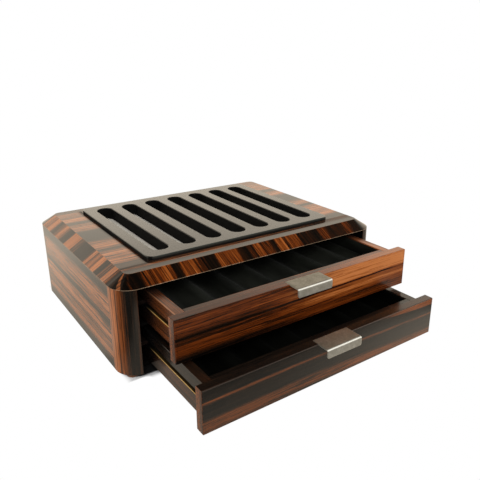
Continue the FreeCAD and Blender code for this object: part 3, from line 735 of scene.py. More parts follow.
def lacquer_finish():
    """Gloss on the top face and on the outer edge, and next to none in the slots. The outer edge
    is a little paler towards its top, but not on the left, where it stays dark and matt."""
    f = Finish("black_lacquer")
    x, y, z = f.where()
    waves = f.noise(x * 0.35, y * 0.35, z * 0.35, detail=2.0)
    dust = f.ease(f.noise(x * 2.2, y * 2.2, z * 2.2, detail=3.0), 0.52, 0.8)
    low, high = box_mm("tray_plate")
    inset = (high[0] - abs(x)).under(y - low[1]).under(high[1] - y)
    outer = 1.0 - f.ease(inset, 1.0, 1.5)
    at_left = 1.0 - f.ease(x, low[0] + 0.3, low[0] + 1.0)
    left_edge = at_left * (1.0 - f.ease(z, high[2] - 0.9, high[2] - 0.4))
    sprayed = f.ease(z, high[2] - 1.3, high[2] - 0.3).over(outer) * (1.0 - left_edge * 0.9)
    lit_edge = outer * f.ease(z, high[2] - 3.4, high[2] - 0.5) * (1.0 - left_edge * 0.8)
    colour = f.mix(lit_edge, f.mix(dust, LACQUER_BLACK, LACQUER_DUST), EDGE_GREY)
    return f.shader({"Base Color": colour, "Roughness": 0.32 + dust * 0.25 + (1.0 - sprayed) * 0.4,
                     "Normal": f.bump(waves, WAVE_DEPTH), "Coat Weight": sprayed,
                     "Coat Roughness": 0.12, "Coat IOR": LACQUER_IOR, "Specular IOR Level": 0.1})


black_lacquer = lacquer_finish()
print("plate:", black_lacquer.name)

# %% [markdown]
# ## The drawer fronts
# The two fronts are the showpieces. The upper one is golden brown with thin ink lines and turns
# redder towards the left; the lower one is almost black with a rust-brown line and a rust-brown
# foot. A narrow lipping closes each end, and a thin dark glue line shows beside it.

# %% What both fronts share
FRONT_LIPPING = 2.3              # mm, thickness of the strips that close a front's two ends
Front = namedtuple("Front", "low height on_top glue end end_tone")


def front_parts(f, x, y, z, node):
    """What both fronts share: the board's lowest corner, the height as a share of the board, its
    narrow top face, the glue line beside the lipping, and the board's end with a tone for it."""
    low, high = box_mm(node)
    height = (z - low[2]) / (high[2] - low[2])
    on_top = f.ease(z, high[2] - 0.3, high[2] - 0.1)
    on_face = 1.0 - f.ease(y, low[1] + 0.4, low[1] + 0.7)
    lipping = high[0] - FRONT_LIPPING
    glue = f.ease(abs(x), lipping, lipping + 0.1) * (1.0 - f.ease(abs(x), lipping + 0.2, lipping + 0.3))
    end = f.ease(abs(x), high[0] - 0.5, high[0] - 0.3)
    stripes = (f.noise(x, y * 0.9, z * 0.02) - 0.5) * 0.6
    end_tone = 0.5 + 0.25 * f.ease(y, low[1] + 1.0, low[1] + 7.0) + stripes
    return Front(low, height, on_top, glue * on_face * 0.7, end, end_tone)


print("each front has two lippings,", FRONT_LIPPING, "mm thick")

# %% The upper front
UPPER_BANDS = [(0.0, 0.36), (0.05, 0.48), (0.11, 0.5), (0.15, 0.42), (0.185, 0.33), (0.215, 0.34),
               (0.24, 0.44), (0.27, 0.56), (0.30, 0.65), (0.34, 0.66), (0.38, 0.76), (0.43, 0.8),
               (0.455, 0.68), (0.475, 0.6), (0.54, 0.62), (0.552, 0.5), (0.562, 0.05), (0.58, 0.03),
               (0.592, 0.6), (0.62, 0.86), (0.65, 0.97), (0.68, 0.9), (0.72, 0.92), (0.78, 0.98),
               (0.84, 0.93), (0.90, 0.86), (0.96, 0.8), (1.0, 0.7)]
UPPER_LEFT_BANDS = [(0.0, 0.12), (0.11, 0.18), (0.15, 0.33), (0.18, 0.42), (0.21, 0.53), (0.30, 0.51),
                    (0.41, 0.5), (0.435, 0.24), (0.47, 0.15), (0.49, 0.44), (0.515, 0.42),
                    (0.535, 0.16), (0.55, 0.03), (0.57, 0.04), (0.59, 0.33), (0.62, 0.4), (0.65, 0.36),
                    (0.68, 0.4), (0.71, 0.47), (0.76, 0.54), (0.80, 0.51), (0.85, 0.46), (0.90, 0.52),
                    (0.95, 0.57), (0.975, 0.5), (1.0, 0.3)]


def upper_front_finish():
    """Bands by height, one set for the left part and one for the right. They slide up and down a
    little, and broad clouds make the tone uneven."""
    f = Finish("ebony_upper_front")
    x, y, z = f.where()
    board = front_parts(f, x, y, z, "upper_drawer_front")
    slow = (f.noise(x * 0.012, z * 0.02, 1.3) - 0.5) * 0.05
    quick = (f.noise(x * 0.05, z * 0.06, 4.4) - 0.5) * 0.02
    place = board.height + slow + quick - x * 0.00012
    cloud = (f.noise(x * 0.016, z * 0.22, 7.7, detail=3.0) - 0.5) * 0.3
    right_part = f.ease(x, -58.0, 22.0)
    tone = f.pick(right_part, f.laid(place, UPPER_LEFT_BANDS), f.laid(place, UPPER_BANDS)) + cloud
    paler = 0.12 * f.ease(x, -110.0, 20.0) - 0.05
    # painted reflection: towards the right end the tone is raised to at least 0.6
    tone = (tone + paler).over(f.ease(x, 104.0, 126.0) * 0.6)
    tone = f.pick(board.end, tone, board.end_tone - 0.12)
    top_tone = 0.38 + 0.42 * f.ease(x, -120.0, 130.0)
    tone = f.pick(board.on_top * (1.0 - board.end), tone, top_tone)
    tone, pore = grained(f, x, z + y * 0.3, y, tone, 0.62 - 0.18 * right_part, 1.25)
    colour = f.mix(board.glue, f.ramp(tone, EBONY_GOLD), INSIDE_BLACK)
    return lacquered(f, colour, pore, SOFT_LACQUER)


upper_front_wood = upper_front_finish()
print("upper front:", upper_front_wood.name)

# %% The lower front
LOWER_BANDS = [(0.0, 0.4), (0.05, 0.42), (0.09, 0.5), (0.14, 0.6), (0.19, 0.54), (0.25, 0.55),
               (0.29, 0.42), (0.325, 0.2), (0.36, 0.1), (0.5, 0.06), (0.64, 0.1), (0.665, 0.2),
               (0.69, 0.48), (0.715, 0.6), (0.735, 0.48), (0.755, 0.16), (0.785, 0.08), (0.9, 0.06),
               (1.0, 0.1)]
TOP_EDGE_HIGHLIGHT_GREY = (0.10, 0.075, 0.06, 1.0)


def lower_front_finish():
    """One set of bands, which bends downwards to the right, where a brown wedge also comes down
    from the top edge. A painted highlight lies along that edge as a thin grey line."""
    f = Finish("ebony_lower_front")
    x, y, z = f.where()
    board = front_parts(f, x, y, z, "lower_drawer_front")
    slow = (f.noise(x * 0.010, z * 0.02, 2.9) - 0.5) * 0.03
    quick = (f.noise(x * 0.06, z * 0.06, 6.2) - 0.5) * 0.015
    bend = f.ease(x, -60.0, 150.0) * 0.12
    tone = f.laid(board.height + slow + quick + bend, LOWER_BANDS)
    wedge = board.height - 0.965 + 0.13 * f.ease(x, 40.0, 140.0)
    tone = tone.over(f.ease(x, 35.0, 95.0) * f.ease(wedge, -0.03, 0.03) * 0.72)
    tone = f.pick(board.end, tone, board.end_tone)
    top_tone = 0.1 + 0.25 * f.ease(x, 40.0, 130.0)
    tone = f.pick(board.on_top * (1.0 - board.end), tone, top_tone)
    tone, pore = grained(f, x, z + y * 0.3, y, tone, 0.6, 1.1)
    colour = f.mix(board.glue, f.ramp(tone, EBONY_ORANGE), INSIDE_BLACK)
    # painted highlight along the front's top front edge, stronger towards the right
    worn = f.ease(board.height, 0.978, 0.99) * (1.0 - f.ease(y, board.low[1] + 0.3, board.low[1] + 0.9))
    colour = f.mix(worn * (0.35 + 0.35 * f.ease(x, -90.0, 60.0)), colour, TOP_EDGE_HIGHLIGHT_GREY)
    gloss = 1.0 - board.on_top * (1.0 - f.ease(x, 70.0, 105.0)) * 0.6
    return lacquered(f, colour, pore, SOFT_LACQUER, gloss)


lower_front_wood = lower_front_finish()
print("lower front:", lower_front_wood.name)

# %% [markdown]
# ## The drawer boxes
# The boxes behind the fronts are solid ebony. Their long walls have grain from front to back, the
# cross walls from left to right, and a brass strip lies in the groove of each long wall. The part
# of a box that stands in the case when the chest is at rest has painted shade and less gloss.

# %% Box walls
PAINTED_SHADE_START = CASE_FRONT - 35.0    # mm along y, where a box's painted shade starts and its gloss starts to fade
PAINTED_SHADE_FULL = CASE_FRONT + 5.0      # and where the painted shade is full and most gloss has gone
RIM_EDGE_HIGHLIGHT_ORANGE = (0.45, 0.20, 0.09, 1.0)


def box_finish(name, long_axis, seed, base, spread, right_more=0.0, dull=0.0, below=None, rim=None):
    """long_axis is 0 for a wall across the drawer and 1 for one from front to back. Spread is how
    far the figure swings about the base tone, right_more is added to it on the right, and dull is
    the gloss that is missing on the left. Below is a height in millimetres and the tone under it.
    Rim is how far out a wall's outer face lies and how high its top, if a painted highlight runs along that
    edge."""
    f = Finish(name)
    place = f.where()
    x, y, z = place
    along, depth = place[long_axis], place[1 - long_axis]
    level = wander(f, along, z + depth * 0.8, 1.4)
    figure = (wild(f, along, level * 1.5, seed) - 0.5) * spread
    tone = base + figure + f.ease(x, -1.0, 1.0) * right_more
    if below:
        height, low_tone = below
        tone = f.pick(f.ease(z, height - 0.5, height + 0.5), low_tone + figure, tone)
    tone, pore = grained(f, along, z, depth, tone, 0.45)
    colour = f.ramp(tone, EBONY_ORANGE)
    if rim:
        outer, top = rim
        # painted highlight along the outer top edge of the wall
        edge = f.ease(z, top - 0.9, top - 0.6) * f.ease(abs(x), outer - 0.9, outer - 0.6)
        colour = f.mix(edge * 0.6, colour, RIM_EDGE_HIGHLIGHT_ORANGE)
    # painted shade: the part in the case is mixed towards black, and its gloss fades
    painted_shade_in_case = f.ease(y, PAINTED_SHADE_START, PAINTED_SHADE_FULL) * 0.92
    colour = f.mix(painted_shade_in_case, colour, INSIDE_BLACK)
    gloss = (1.0 - (1.0 - f.ease(x, 70.0, 105.0)) * dull) * (1.0 - painted_shade_in_case * 0.85)
    return lacquered(f, colour, pore, SOFT_LACQUER, gloss)


strip_level = box_mm("lower_drawer_left_strip")[0][2]
upper_high = box_mm("upper_drawer_right_side")[1]
upper_side_wood = box_finish("ebony_upper_sides", 1, 3.1, 0.64, 0.16, right_more=0.3,
                             rim=(upper_high[0], upper_high[2]))
lower_side_wood = box_finish("ebony_lower_sides", 1, 11.7, 0.16, 0.2, below=(strip_level, 0.42))
upper_cross_wood = box_finish("ebony_upper_cross", 0, 29.0, 0.42, 0.4, right_more=0.2)
lower_cross_wood = box_finish("ebony_lower_cross", 0, 51.0, 0.02, 0.2, dull=0.8)
print("box walls: four finishes")

# %% Plain boards and runners
def stained_finish(name, colour, spread, long_axis):
    """Dark stained board: the stain sinks in unevenly along the grain."""
    f = Finish(name)
    place = f.where()
    along, across, depth = place[long_axis], place[1 - long_axis], place[2]
    blotch = f.noise(along * 0.02, across * 0.3, depth * 0.3, detail=3.0)
    shade = f.mix(f.ease(blotch, 0.35, 0.7), (*colour, 1.0), (*[c * spread for c in colour], 1.0))
    return f.shader({"Base Color": shade, "Roughness": 0.7 + blotch * 0.2, "Normal": f.bump(blotch, 0.00005),
                     "Specular IOR Level": 0.0})


dark_board = stained_finish("dark_board", (0.003, 0.0026, 0.0024), 2.2, 0)
runner_wood = stained_finish("runner_wood", (0.008, 0.005, 0.004), 2.0, 1)
print("boards and runners:", dark_board.name, runner_wood.name)

# %% Brass strips
BRASS = (0.95, 0.60, 0.18, 1.0)
TARNISH = (0.72, 0.42, 0.11, 1.0)
BRASS_BROWN = (0.06, 0.035, 0.012, 1.0)


def brass_finish():
    """Satin brass: fine lines drawn along the strip and a little tarnish. Only the strip's outer face
    is bright brass and its other faces are dark brown. Painted shade darkens the part of it that
    stands in the case."""
    f = Finish("brass")
    x, y, z = f.where()
    drawn = f.noise(y * 0.03, z * 6.0, x * 6.0)
    tarnish = f.ease(f.noise(x * 0.1, y * 0.1, z * 0.1, detail=3.0), 0.45, 0.75)
    outer = box_mm("upper_drawer_right_strip")[1][0]
    bright_mask = f.ease(abs(x) - outer, -0.25, -0.05)
    colour = f.mix(bright_mask, BRASS_BROWN, f.mix(tarnish, BRASS, TARNISH))
    # painted shade: the part of the strip that stands in the case is mixed towards black
    colour = f.mix(f.ease(y, CASE_FRONT - 14.0, CASE_FRONT + 10.0), colour, INSIDE_BLACK)
    return f.shader({"Base Color": colour, "Metallic": 0.45, "Roughness": 0.26 + drawn * 0.18 + tarnish * 0.1,
                     "Normal": f.bump(drawn, 0.00001)})


brass = brass_finish()
print("strips:", brass.name)

# %% Nickel, polished and satin
NICKEL_DARK = (0.40, 0.37, 0.30, 1.0)
NICKEL_PALE = (0.50, 0.465, 0.39, 1.0)
NICKEL_STAIN = (0.30, 0.27, 0.21, 1.0)
NICKEL_HIGHLIGHT = (1.0, 0.97, 0.85, 1.0)


def nickel_finish(name, rough, spread, metal, pulls=()):
    """Nickel plate: bead-blasted grains set how it scatters light, and stains and rubbing vary it
    slowly. Along each pull's bend a painted highlight makes the nickel brighter, and it is smoother
    there; its flat tab is laid as more metallic than its lip."""
    f = Finish(name)
    x, y, z = f.where()
    grains = f.noise(x * 3.0, y * 3.0, z * 3.0, detail=2.0)
    cloud = f.noise(x * 0.16, y * 0.16, z * 0.16, detail=2.0)
    stain = f.ease(f.noise(x * 0.7, y * 0.7, z * 0.35, detail=3.0), 0.42, 0.7)
    colour = f.mix(f.ease(cloud, 0.3, 0.7), NICKEL_DARK, NICKEL_PALE)
    colour = f.mix(stain * 0.5, colour, NICKEL_STAIN)
    bright_mask = 0.0
    tab = 0.0
    for node in pulls:
        low, high = box_mm(node)
        on_tab = f.ease(z, high[2] - 0.8, high[2] - 0.2) * (1.0 - f.ease(z, high[2] + 0.4, high[2] + 0.5))
        tab = on_tab.over(tab)
        forward = y - low[1] - 0.5
        upward = z - high[2] + 0.5
        off_bend = (forward * forward + upward * upward).root()
        # painted highlight along the bend, where the rolled metal would catch the light
        bright_mask = (1.0 - f.ease(off_bend, 0.45, 1.25)).over(bright_mask)
    if pulls:
        colour = f.mix(bright_mask, colour, NICKEL_HIGHLIGHT)
        metal = metal + tab * 0.3 - bright_mask * 0.35
    return f.shader({"Base Color": colour, "Metallic": metal,
                     "Roughness": rough + (grains - 0.5) * spread - bright_mask * 0.12 + stain * 0.08,
                     "Normal": f.bump(grains, 0.00002)})


satin_nickel = nickel_finish("satin_nickel", 0.42, 0.25, 0.6, ("upper_drawer_pull", "lower_drawer_pull"))
polished_nickel = nickel_finish("polished_nickel", 0.14, 0.08, 1.0)
print("nickel, satin and polished")

# %% [markdown]
# ## Velvet, suede and felt
# Velvet looks dark face on and catches light at its edge, because its pile stands up. Sheen does
# that; a brushed pattern in the base colour and in the relief shows where the pile was stroked.
# The lower drawer lies in the shade of the upper one, and its velvet is laid darker.

# %% Soft finishes
VELVET_DARK = (0.0042, 0.0045, 0.0036, 1.0)
VELVET_PALE = (0.0125, 0.0132, 0.0104, 1.0)
VELVET_PILE = (0.021, 0.0215, 0.017, 1.0)
VELVET_SHADE = (0.0008, 0.0008, 0.0007, 1.0)


def velvet_finish(name, sheen, shade):
    """Black velvet: brushed streaks, single bright hairs and, by a share, shade over both."""
    f = Finish(name)
    x, y, z = f.where()
    pile = f.noise(x * 5.0, y * 5.0, z * 5.0, detail=1.0)
    stroke = f.noise(x * 0.05, y * 0.012, z * 0.05, detail=3.0)
    colour = f.mix(f.ease(stroke, 0.35, 0.7), VELVET_DARK, VELVET_PALE)
    colour = f.mix(f.ease(pile, 0.55, 0.75) * 0.4, colour, VELVET_PILE)
    colour = f.mix(shade, colour, VELVET_SHADE)
    return f.shader({"Base Color": colour, "Roughness": 0.95, "Specular IOR Level": 0.0,
                     "Sheen Weight": sheen, "Sheen Roughness": 0.35, "Normal": f.bump(pile, 0.00012)})


def suede_finish(name, light, dark, nap=0.0001):
    """Suede or felt: a matt nap with soft brushed patches and single lighter fibres."""
    f = Finish(name)
    x, y, z = f.where()
    patch = f.noise(x * 0.06, y * 0.03, z * 0.06, detail=3.0)
    fibre = f.noise(x * 2.6, y * 2.6, z * 2.6, detail=3.0)
    colour = f.mix(f.ease(patch, 0.3, 0.7), (*dark, 1.0), (*light, 1.0))
    colour = f.mix(f.ease(fibre, 0.5, 0.8) * 0.3, colour, (*[min(1.0, c * 1.25) for c in light], 1.0))
    return f.shader({"Base Color": colour, "Roughness": 0.9, "Specular IOR Level": 0.1,
                     "Sheen Weight": 0.2, "Sheen Roughness": 0.5, "Normal": f.bump(fibre, nap)})


velvets = {"upper": velvet_finish("black_velvet", 0.03, 0.0),
           "lower": velvet_finish("black_velvet_in_shade", 0.004, 0.8)}
pale_suede = suede_finish("pale_suede", (0.68, 0.63, 0.54), (0.58, 0.53, 0.45))
brown_felt = suede_finish("brown_felt", (0.16, 0.07, 0.035), (0.09, 0.04, 0.02))
print("velvet, suede, felt")

# %% Give the CAD nodes their finishes
CORNERS = ("front_left", "front_right", "back_left", "back_right")
SIDES = ("left", "right")
TIERS = ("upper", "lower")
side_woods = {"upper": upper_side_wood, "lower": lower_side_wood}
cross_woods = {"upper": upper_cross_wood, "lower": lower_cross_wood}
front_woods = {"upper": upper_front_wood, "lower": lower_front_wood}
finishes = {"left_side_panel": side_wood, "right_side_panel": side_wood, "back_panel": back_wood,
            "top_frame": top_wood, "tray_plate": black_lacquer, "tray_floor": pale_suede,
            "bottom_panel": dark_board, "dust_panel": dark_board}
for corner in CORNERS:
    finishes[corner + "_post"] = post_wood
    finishes["foot_" + corner] = brown_felt
for tier in TIERS:
    drawer = tier + "_drawer"
    for side in SIDES:
        finishes[tier + "_" + side + "_runner"] = runner_wood
        finishes["catch_" + tier + "_" + side] = polished_nickel
        finishes[drawer + "_" + side + "_side"] = side_woods[tier]
        finishes[drawer + "_" + side + "_strip"] = brass
    finishes.update({drawer + "_inner_front": cross_woods[tier], drawer + "_back": cross_woods[tier],
                     drawer + "_bottom": dark_board, drawer + "_front": front_woods[tier],
                     drawer + "_pull": satin_nickel, drawer + "_lining": velvets[tier],
                     drawer + "_pen_pad": velvets[tier]})
for name, material in finishes.items():
    for slot in nodes[name].material_slots:
        slot.material = material
print(len(finishes), "of", len(nodes), "nodes have a finish")

# %% [markdown]
# ## Skins worked out with numpy
# Every new piece is a skin: a grid of points, worked out as whole arrays, whose columns close into
# a ring. The ring goes once round the piece, over the top and back underneath, and the rows carry
# it along. Where a piece ends, its rings shrink to a line and the two halves meet, so it is closed.

# %% From a grid of points to a piece
MERGE = 1e-6                     # m, points closer than this become one


def skin(name, points, material, body, replaced, rows_close=False):
    """points is an array of rows, columns and x y z in millimetres. Quads join each point with the
    next in its row and its column; the last column joins the first, and so may the rows."""
    rows, columns = points.shape[:2]
    index = np.arange(rows * columns).reshape(rows, columns)
    beside = np.roll(index, -1, axis=1)
    after, after_beside = np.roll(index, -1, axis=0), np.roll(beside, -1, axis=0)
    quads = np.stack([index, beside, after_beside, after], axis=-1)
    if not rows_close:
        quads = quads[:-1]
    mesh = bpy.data.meshes.new(name)
    mesh.from_pydata((points.reshape(-1, 3) * MM).tolist(), [], quads.reshape(-1, 4).tolist())
    tidy = bmesh.new()
    tidy.from_mesh(mesh)
    bmesh.ops.remove_doubles(tidy, verts=tidy.verts, dist=MERGE)
    bmesh.ops.recalc_face_normals(tidy, faces=tidy.faces)
    tidy.to_mesh(mesh)
    tidy.free()
    mesh.shade_smooth()
    mesh.materials.append(material)
    piece = bpy.data.objects.new(name, mesh)
    bpy.context.scene.collection.objects.link(piece)
    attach(piece, body)
    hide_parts(replaced)
    return piece


print("points closer than", MERGE, "m are merged")

# %% Rounded edges and flat pieces
def rounding(distance, radius):
    """How thick a piece still is near its edge, from 0 at the edge to 1 at radius from it: the
    height of a quarter circle."""
    near = np.clip(distance / radius, 0.0, 1.0)
    return np.sqrt(1.0 - (1.0 - near) ** 2)


def edge_steps(length, radius, count, fine=6):
    """Places from 0 to length, close together within radius of both ends."""
    turn = np.linspace(0.0, math.pi / 2, fine, endpoint=False)
    ease_in = radius * (1.0 - np.cos(turn))
    middle = np.linspace(radius, length - radius, count)
    return np.concatenate([ease_in, middle, length - ease_in[::-1]])


def coordinates(mesh):
    """The places of a mesh's points, as rows of x y z in metres."""
    points = np.empty(len(mesh.vertices) * 3)
    mesh.vertices.foreach_get("co", points)
    return points.reshape(-1, 3)


def sheet_rings(x, y, low, high, radius, top, rise=0.0):
    """Rings for a flat piece on the grid of x and y: over its top and back underneath. Towards the
    outline both faces draw together about the middle, by a quarter circle of the given radius. The
    rise is added to the top after that."""
    to_edge = np.minimum.outer(np.minimum(y - low[1], high[1] - y), np.minimum(x - low[0], high[0] - x))
    bulge = rounding(to_edge, radius)
    middle = (low[2] + high[2]) / 2
    plan_x, plan_y = np.meshgrid(x, y)
    over = np.stack([plan_x, plan_y, middle + (top - middle) * bulge + rise], axis=-1)
    under = np.stack([plan_x, plan_y, middle + (low[2] - middle) * bulge], axis=-1)
    return np.concatenate([over, under[:, ::-1]], axis=1)


print("thickness at a tenth of the rounding:", round(float(rounding(0.1, 1.0)), 2))

# %% [markdown]
# ## The pulls
# Each pull is a strip of nickel plate, let into the top edge of its front, that runs forward and
# turns down. Its edges are rolled over and catch the light, which a plain bent box can't show. So
# it is a flat oval ring carried along the bend, narrower at its corners.

# %% Bend the two pulls
PLATE = 1.6                      # thickness
BEND = 2.3                       # outer radius of the bend
ROLL_EDGE = 0.55                 # how far in from its outline the metal is rounded
PULL_CORNER = 2.4                # radius of the lip's lower corners


def bend_pull(tier):
    """The path runs forward along the tab, round a quarter circle and down the lip. Every ring
    has the path's place plus or minus half the thickness along the path's normal. The half width
    is less near the lip's end by a quarter circle, which rounds its corners."""
    name = tier + "_drawer_pull"
    low, high = box_mm(name)
    top, nose, back = high[2], low[1], high[1]
    tab = back - nose - BEND
    arc = BEND * math.pi / 2
    drop = pull_drop(tier) - BEND
    length = tab + arc + drop
    s = np.sort(np.concatenate([edge_steps(length, ROLL_EDGE, 60), tab + np.linspace(0, arc, 14)]))
    angle = np.clip((s - tab) / BEND, 0.0, math.pi / 2)
    run = np.clip(s, 0.0, tab)
    fall = np.clip(s - tab - arc, 0.0, drop)
    out_y = back - run - BEND * np.sin(angle)
    out_z = top - BEND * (1.0 - np.cos(angle)) - fall
    normal_y, normal_z = -np.sin(angle), np.cos(angle)
    corner = np.clip(PULL_CORNER - (length - s), 0.0, PULL_CORNER)
    half = (high[0] - low[0]) / 2 - PULL_CORNER + np.sqrt(PULL_CORNER ** 2 - corner ** 2)
    share = edge_steps(2.0, 2 * ROLL_EDGE / (high[0] - low[0]), 24) - 1.0   # from -1 to 1 across
    x = half[:, None] * share[None, :]
    to_side = half[:, None] - np.abs(x)
    thick = PLATE / 2 * rounding(to_side, ROLL_EDGE) * rounding(np.minimum(s, length - s), ROLL_EDGE)[:, None]
    middle_y = (out_y - normal_y * PLATE / 2)[:, None]
    middle_z = (out_z - normal_z * PLATE / 2)[:, None]
    faces = []
    for sign in (1.0, -1.0):
        y = middle_y + sign * thick * normal_y[:, None]
        z = middle_z + sign * thick * normal_z[:, None]
        faces.append(np.stack([x, y, z], axis=-1))
    ring = np.concatenate([faces[0], faces[1][:, ::-1]], axis=1)
    return skin(name + "_plate", ring, satin_nickel, tier + "_drawer", name)


def pull_drop(tier):
    """The pull's box also holds its studs, so the lip's length is found from its mesh: the lowest
    point in front of the front board."""
    points = coordinates(nodes[tier + "_drawer_pull"].data) / MM
    before = points[:, 1] < box_mm(tier + "_drawer_front")[0][1] - 1.0
    return points[:, 2].max() - points[before][:, 2].min()


for tier in TIERS:
    print(bend_pull(tier).name, "lip", round(pull_drop(tier), 2), "mm")

# %% [markdown]
# ## The pen pads
# Each drawer holds one velvet pad with seven channels. It is foam under velvet, so its ridges are
# crowned and its edges pull in. A cloth simulation with a little pressure inside gives just that:
# the pad starts a bit too small, swells, and no point may move further than the room it has.

# %% Shape a pad
CHANNELS = 7
CHANNEL_PITCH = 34.8
CHANNEL_RADIUS = 14.0
CHANNEL_DEPTH = 8.5
SHRINK = 1.0                     # the pad starts this much smaller all round
PAD_EDGE = 3.0                   # radius of the pad's edges


def pad_rings(low, high):
    """The height of the top is the ridge's less the part of each channel's circle that lies
    below it; the channels lie side by side about the middle."""
    low, high = low + SHRINK, high - SHRINK
    x = low[0] + edge_steps(high[0] - low[0], PAD_EDGE, 150)
    y = low[1] + edge_steps(high[1] - low[1], PAD_EDGE, 60)
    nearest = np.clip(np.round(x / CHANNEL_PITCH), -(CHANNELS // 2), CHANNELS // 2) * CHANNEL_PITCH
    off = np.clip(np.abs(x - nearest) / CHANNEL_RADIUS, 0.0, 1.0)
    dip = np.clip(CHANNEL_DEPTH - CHANNEL_RADIUS * (1.0 - np.sqrt(1.0 - off ** 2)), 0.0, None)
    top = (high[2] - dip)[None, :].repeat(len(y), axis=0)
    return sheet_rings(x, y, low, high, PAD_EDGE, top)


print("a pad has", CHANNELS, "channels,", CHANNEL_PITCH, "mm apart")

# %% Stuff it
VOXEL = 0.004                    # m
PRESSURE = 4.0
MOST_MOVE = 0.0009               # m
CLOTH_FRAMES = 20


def stuff(piece):
    """Remesh the pad into even quads, let it swell as cloth and keep each point near its start."""
    remesh = piece.modifiers.new("even_quads", "REMESH")
    remesh.mode = "VOXEL"
    remesh.voxel_size = VOXEL
    even = bpy.data.meshes.new_from_object(piece.evaluated_get(bpy.context.evaluated_depsgraph_get()))
    piece.modifiers.clear()
    piece.data = even
    start = coordinates(even)
    cloth = piece.modifiers.new("swelling", "CLOTH")
    cloth.settings.use_pressure = True
    cloth.settings.uniform_pressure_force = PRESSURE
    cloth.settings.effector_weights.gravity = 0.0
    scene = bpy.context.scene
    for step in range(1, CLOTH_FRAMES + 1):
        scene.frame_set(step)
    swollen = piece.evaluated_get(bpy.context.evaluated_depsgraph_get()).to_mesh()
    move = coordinates(swollen) - start
    piece.modifiers.clear()
    scene.frame_set(1)
    reach = np.linalg.norm(move, axis=1, keepdims=True)
    move = move * np.minimum(1.0, MOST_MOVE / np.maximum(reach, 1e-9))
    even.vertices.foreach_set("co", (start + move).ravel())
    even.update()
    return float(np.linalg.norm(move, axis=1).max())


print("a pad swells over", CLOTH_FRAMES, "frames")

# %% Make both pads
for tier in TIERS:
    node = tier + "_drawer_pen_pad"
    rings = pad_rings(*box_mm(node))
    pad = skin(node + "_velvet", rings, velvets[tier], tier + "_drawer", node)
    swell = stuff(pad)
    pad.data.shade_smooth()
    smooth = pad.modifiers.new("smooth", "SUBSURF")
    smooth.levels = smooth.render_levels = 1
    print(pad.name, len(pad.data.vertices), "points, swelled", round(swell / MM, 2), "mm")

# %% [markdown]
# ## The drawer linings
# A strip of velvet over card stands against the four walls of each drawer. It is a thin upright
# oval carried round a rectangle with small round corners, so its top edge is a soft roll.

# %% Line the drawers
LINING = 1.6                     # thickness
LINING_CORNER = 2.2              # radius of the outer corners


def lining_rings(low, high):
    """Round the rectangle: the path is a corner's middle plus its radius times the direction, and
    a ring is a tall oval whose width grows by a hair at mid height, where the velvet bulges."""
    turn = np.linspace(0.0, 2 * math.pi, 64, endpoint=False) + math.pi / 64
    side_x, side_y = np.sign(np.cos(turn)), np.sign(np.sin(turn))
    reach = np.array([high[0] - low[0], high[1] - low[1]]) / 2 - LINING_CORNER
    middle = (low + high) / 2
    around = np.linspace(0.0, 2 * math.pi, 40, endpoint=False)
    swell_z = np.sign(np.sin(around)) * np.abs(np.sin(around)) ** 0.35
    across = np.cos(around) * (0.9 + 0.1 * np.abs(np.cos(around))) * LINING / 2
    height = middle[2] + swell_z * (high[2] - low[2]) / 2
    radius = LINING_CORNER - LINING / 2 + across
    x = middle[0] + (side_x * reach[0])[:, None] + np.cos(turn)[:, None] * radius[None, :]
    y = middle[1] + (side_y * reach[1])[:, None] + np.sin(turn)[:, None] * radius[None, :]
    return np.stack([x, y, np.broadcast_to(height, x.shape)], axis=-1)


for tier in TIERS:
    node = tier + "_drawer_lining"
    lining = skin(node + "_velvet", lining_rings(*box_mm(node)), velvets[tier], tier + "_drawer",
                  node, rows_close=True)
    print(lining.name, len(lining.data.polygons), "faces")

# %% [markdown]
# ## The suede under the tray
# Under the black plate lies a board covered in pale suede. In each slot the suede is raised over a
# thin cushion, so that a pen rests softly. One sheet does all seven: its height is a smooth step
# of the distance to the slot's outline, which is a straight run with a half circle at each end.

# %% Lay the suede
SLOTS = 7
SLOT_PITCH = 32.05
SLOT_RADIUS = 9.5
SLOT_RUN = 78.0                  # half the straight part
SLOT_GAP = 0.2                   # between the cushion and the slot's wall
CUSHION = 1.3                    # how far the suede rises in a slot
CUSHION_EDGE = 2.2               # how far in from its outline the cushion reaches its full height
SUEDE_EDGE = 1.5                 # radius of the sheet's own edges
SUEDE_SINK = 0.05                # the sheet lies this much below the board's top


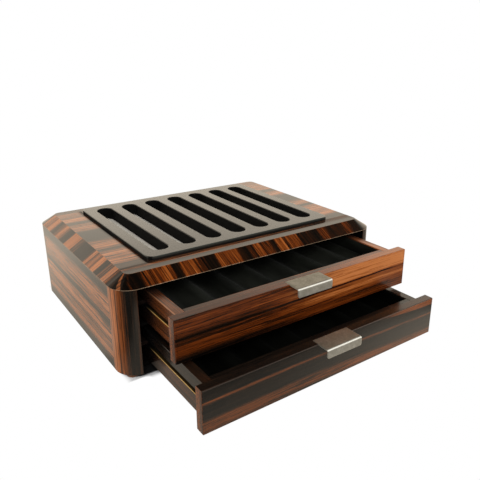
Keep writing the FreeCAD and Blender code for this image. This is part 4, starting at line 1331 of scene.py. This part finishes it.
def suede_rings(low, high):
    """Top: the board's height plus the cushion's, which eases in over the outline's inner edge."""
    x = low[0] + edge_steps(high[0] - low[0], SUEDE_EDGE, 190)
    y = low[1] + edge_steps(high[1] - low[1], SUEDE_EDGE, 86)
    plan_x, plan_y = np.meshgrid(x, y)
    nearest = np.clip(np.round(plan_x / SLOT_PITCH), -(SLOTS // 2), SLOTS // 2) * SLOT_PITCH
    beyond = np.clip(np.abs(plan_y - (low[1] + high[1]) / 2) - SLOT_RUN, 0.0, None)
    inside = (SLOT_RADIUS - SLOT_GAP - np.hypot(plan_x - nearest, beyond)) / CUSHION_EDGE
    inside = np.clip(inside, 0.0, 1.0)
    rise = CUSHION * inside * inside * (3.0 - 2.0 * inside)
    return sheet_rings(x, y, low, high, SUEDE_EDGE, high[2] - SUEDE_SINK, rise)


rings = suede_rings(*box_mm("tray_floor"))
suede = skin("tray_floor_suede", rings, pale_suede, "case", "tray_floor")
print(suede.name, len(suede.data.polygons), "faces")

# %% [markdown]
# ## The felt feet
# Four discs of brown felt keep the chest off the table. Felt is cut, so its edge is upright with a
# soft rim; the profile of half a disc is turned about its own middle, with a little fuzz on it.

# %% Cut the feet
FOOT_ROUND = 0.7                 # radius of the foot's rims
FUZZ = 0.05                      # how far the fuzz makes the felt uneven


def foot_rings(low, high, thickness, seed):
    """Profile from the middle of the top over the rim to the middle of the bottom, turned round."""
    rng = np.random.default_rng(seed)
    radius = (high[0] - low[0]) / 2
    turn = np.linspace(0.0, math.pi / 2, 7)
    out = radius - FOOT_ROUND + FOOT_ROUND * np.sin(turn)
    down = FOOT_ROUND * (1.0 - np.cos(turn))
    flat = np.linspace(0.0, radius - FOOT_ROUND, 8)[:-1]
    profile_r = np.concatenate([flat, out, out[::-1], flat[::-1]])
    profile_z = thickness - np.concatenate([flat * 0, down, thickness - down[::-1], flat * 0 + thickness])
    around = np.linspace(0.0, 2 * math.pi, 48, endpoint=False)
    fuzz = rng.uniform(-FUZZ, 0.0, (len(profile_r), len(around))) * (profile_r > radius * 0.6)[:, None]
    r = profile_r[:, None] + fuzz
    centre = (low + high) / 2
    x = centre[0] + r * np.cos(around)
    y = centre[1] + r * np.sin(around)
    return np.stack([x, y, np.broadcast_to(profile_z[:, None], x.shape)], axis=-1)


board_z = box_mm("bottom_panel")[0][2]
for seed, corner in enumerate(CORNERS):
    node = "foot_" + corner
    rings = foot_rings(*box_mm(node), board_z, seed)
    skin(node + "_felt", rings, brown_felt, "case", node)
print("four felt feet,", round(board_z, 2), "mm thick")
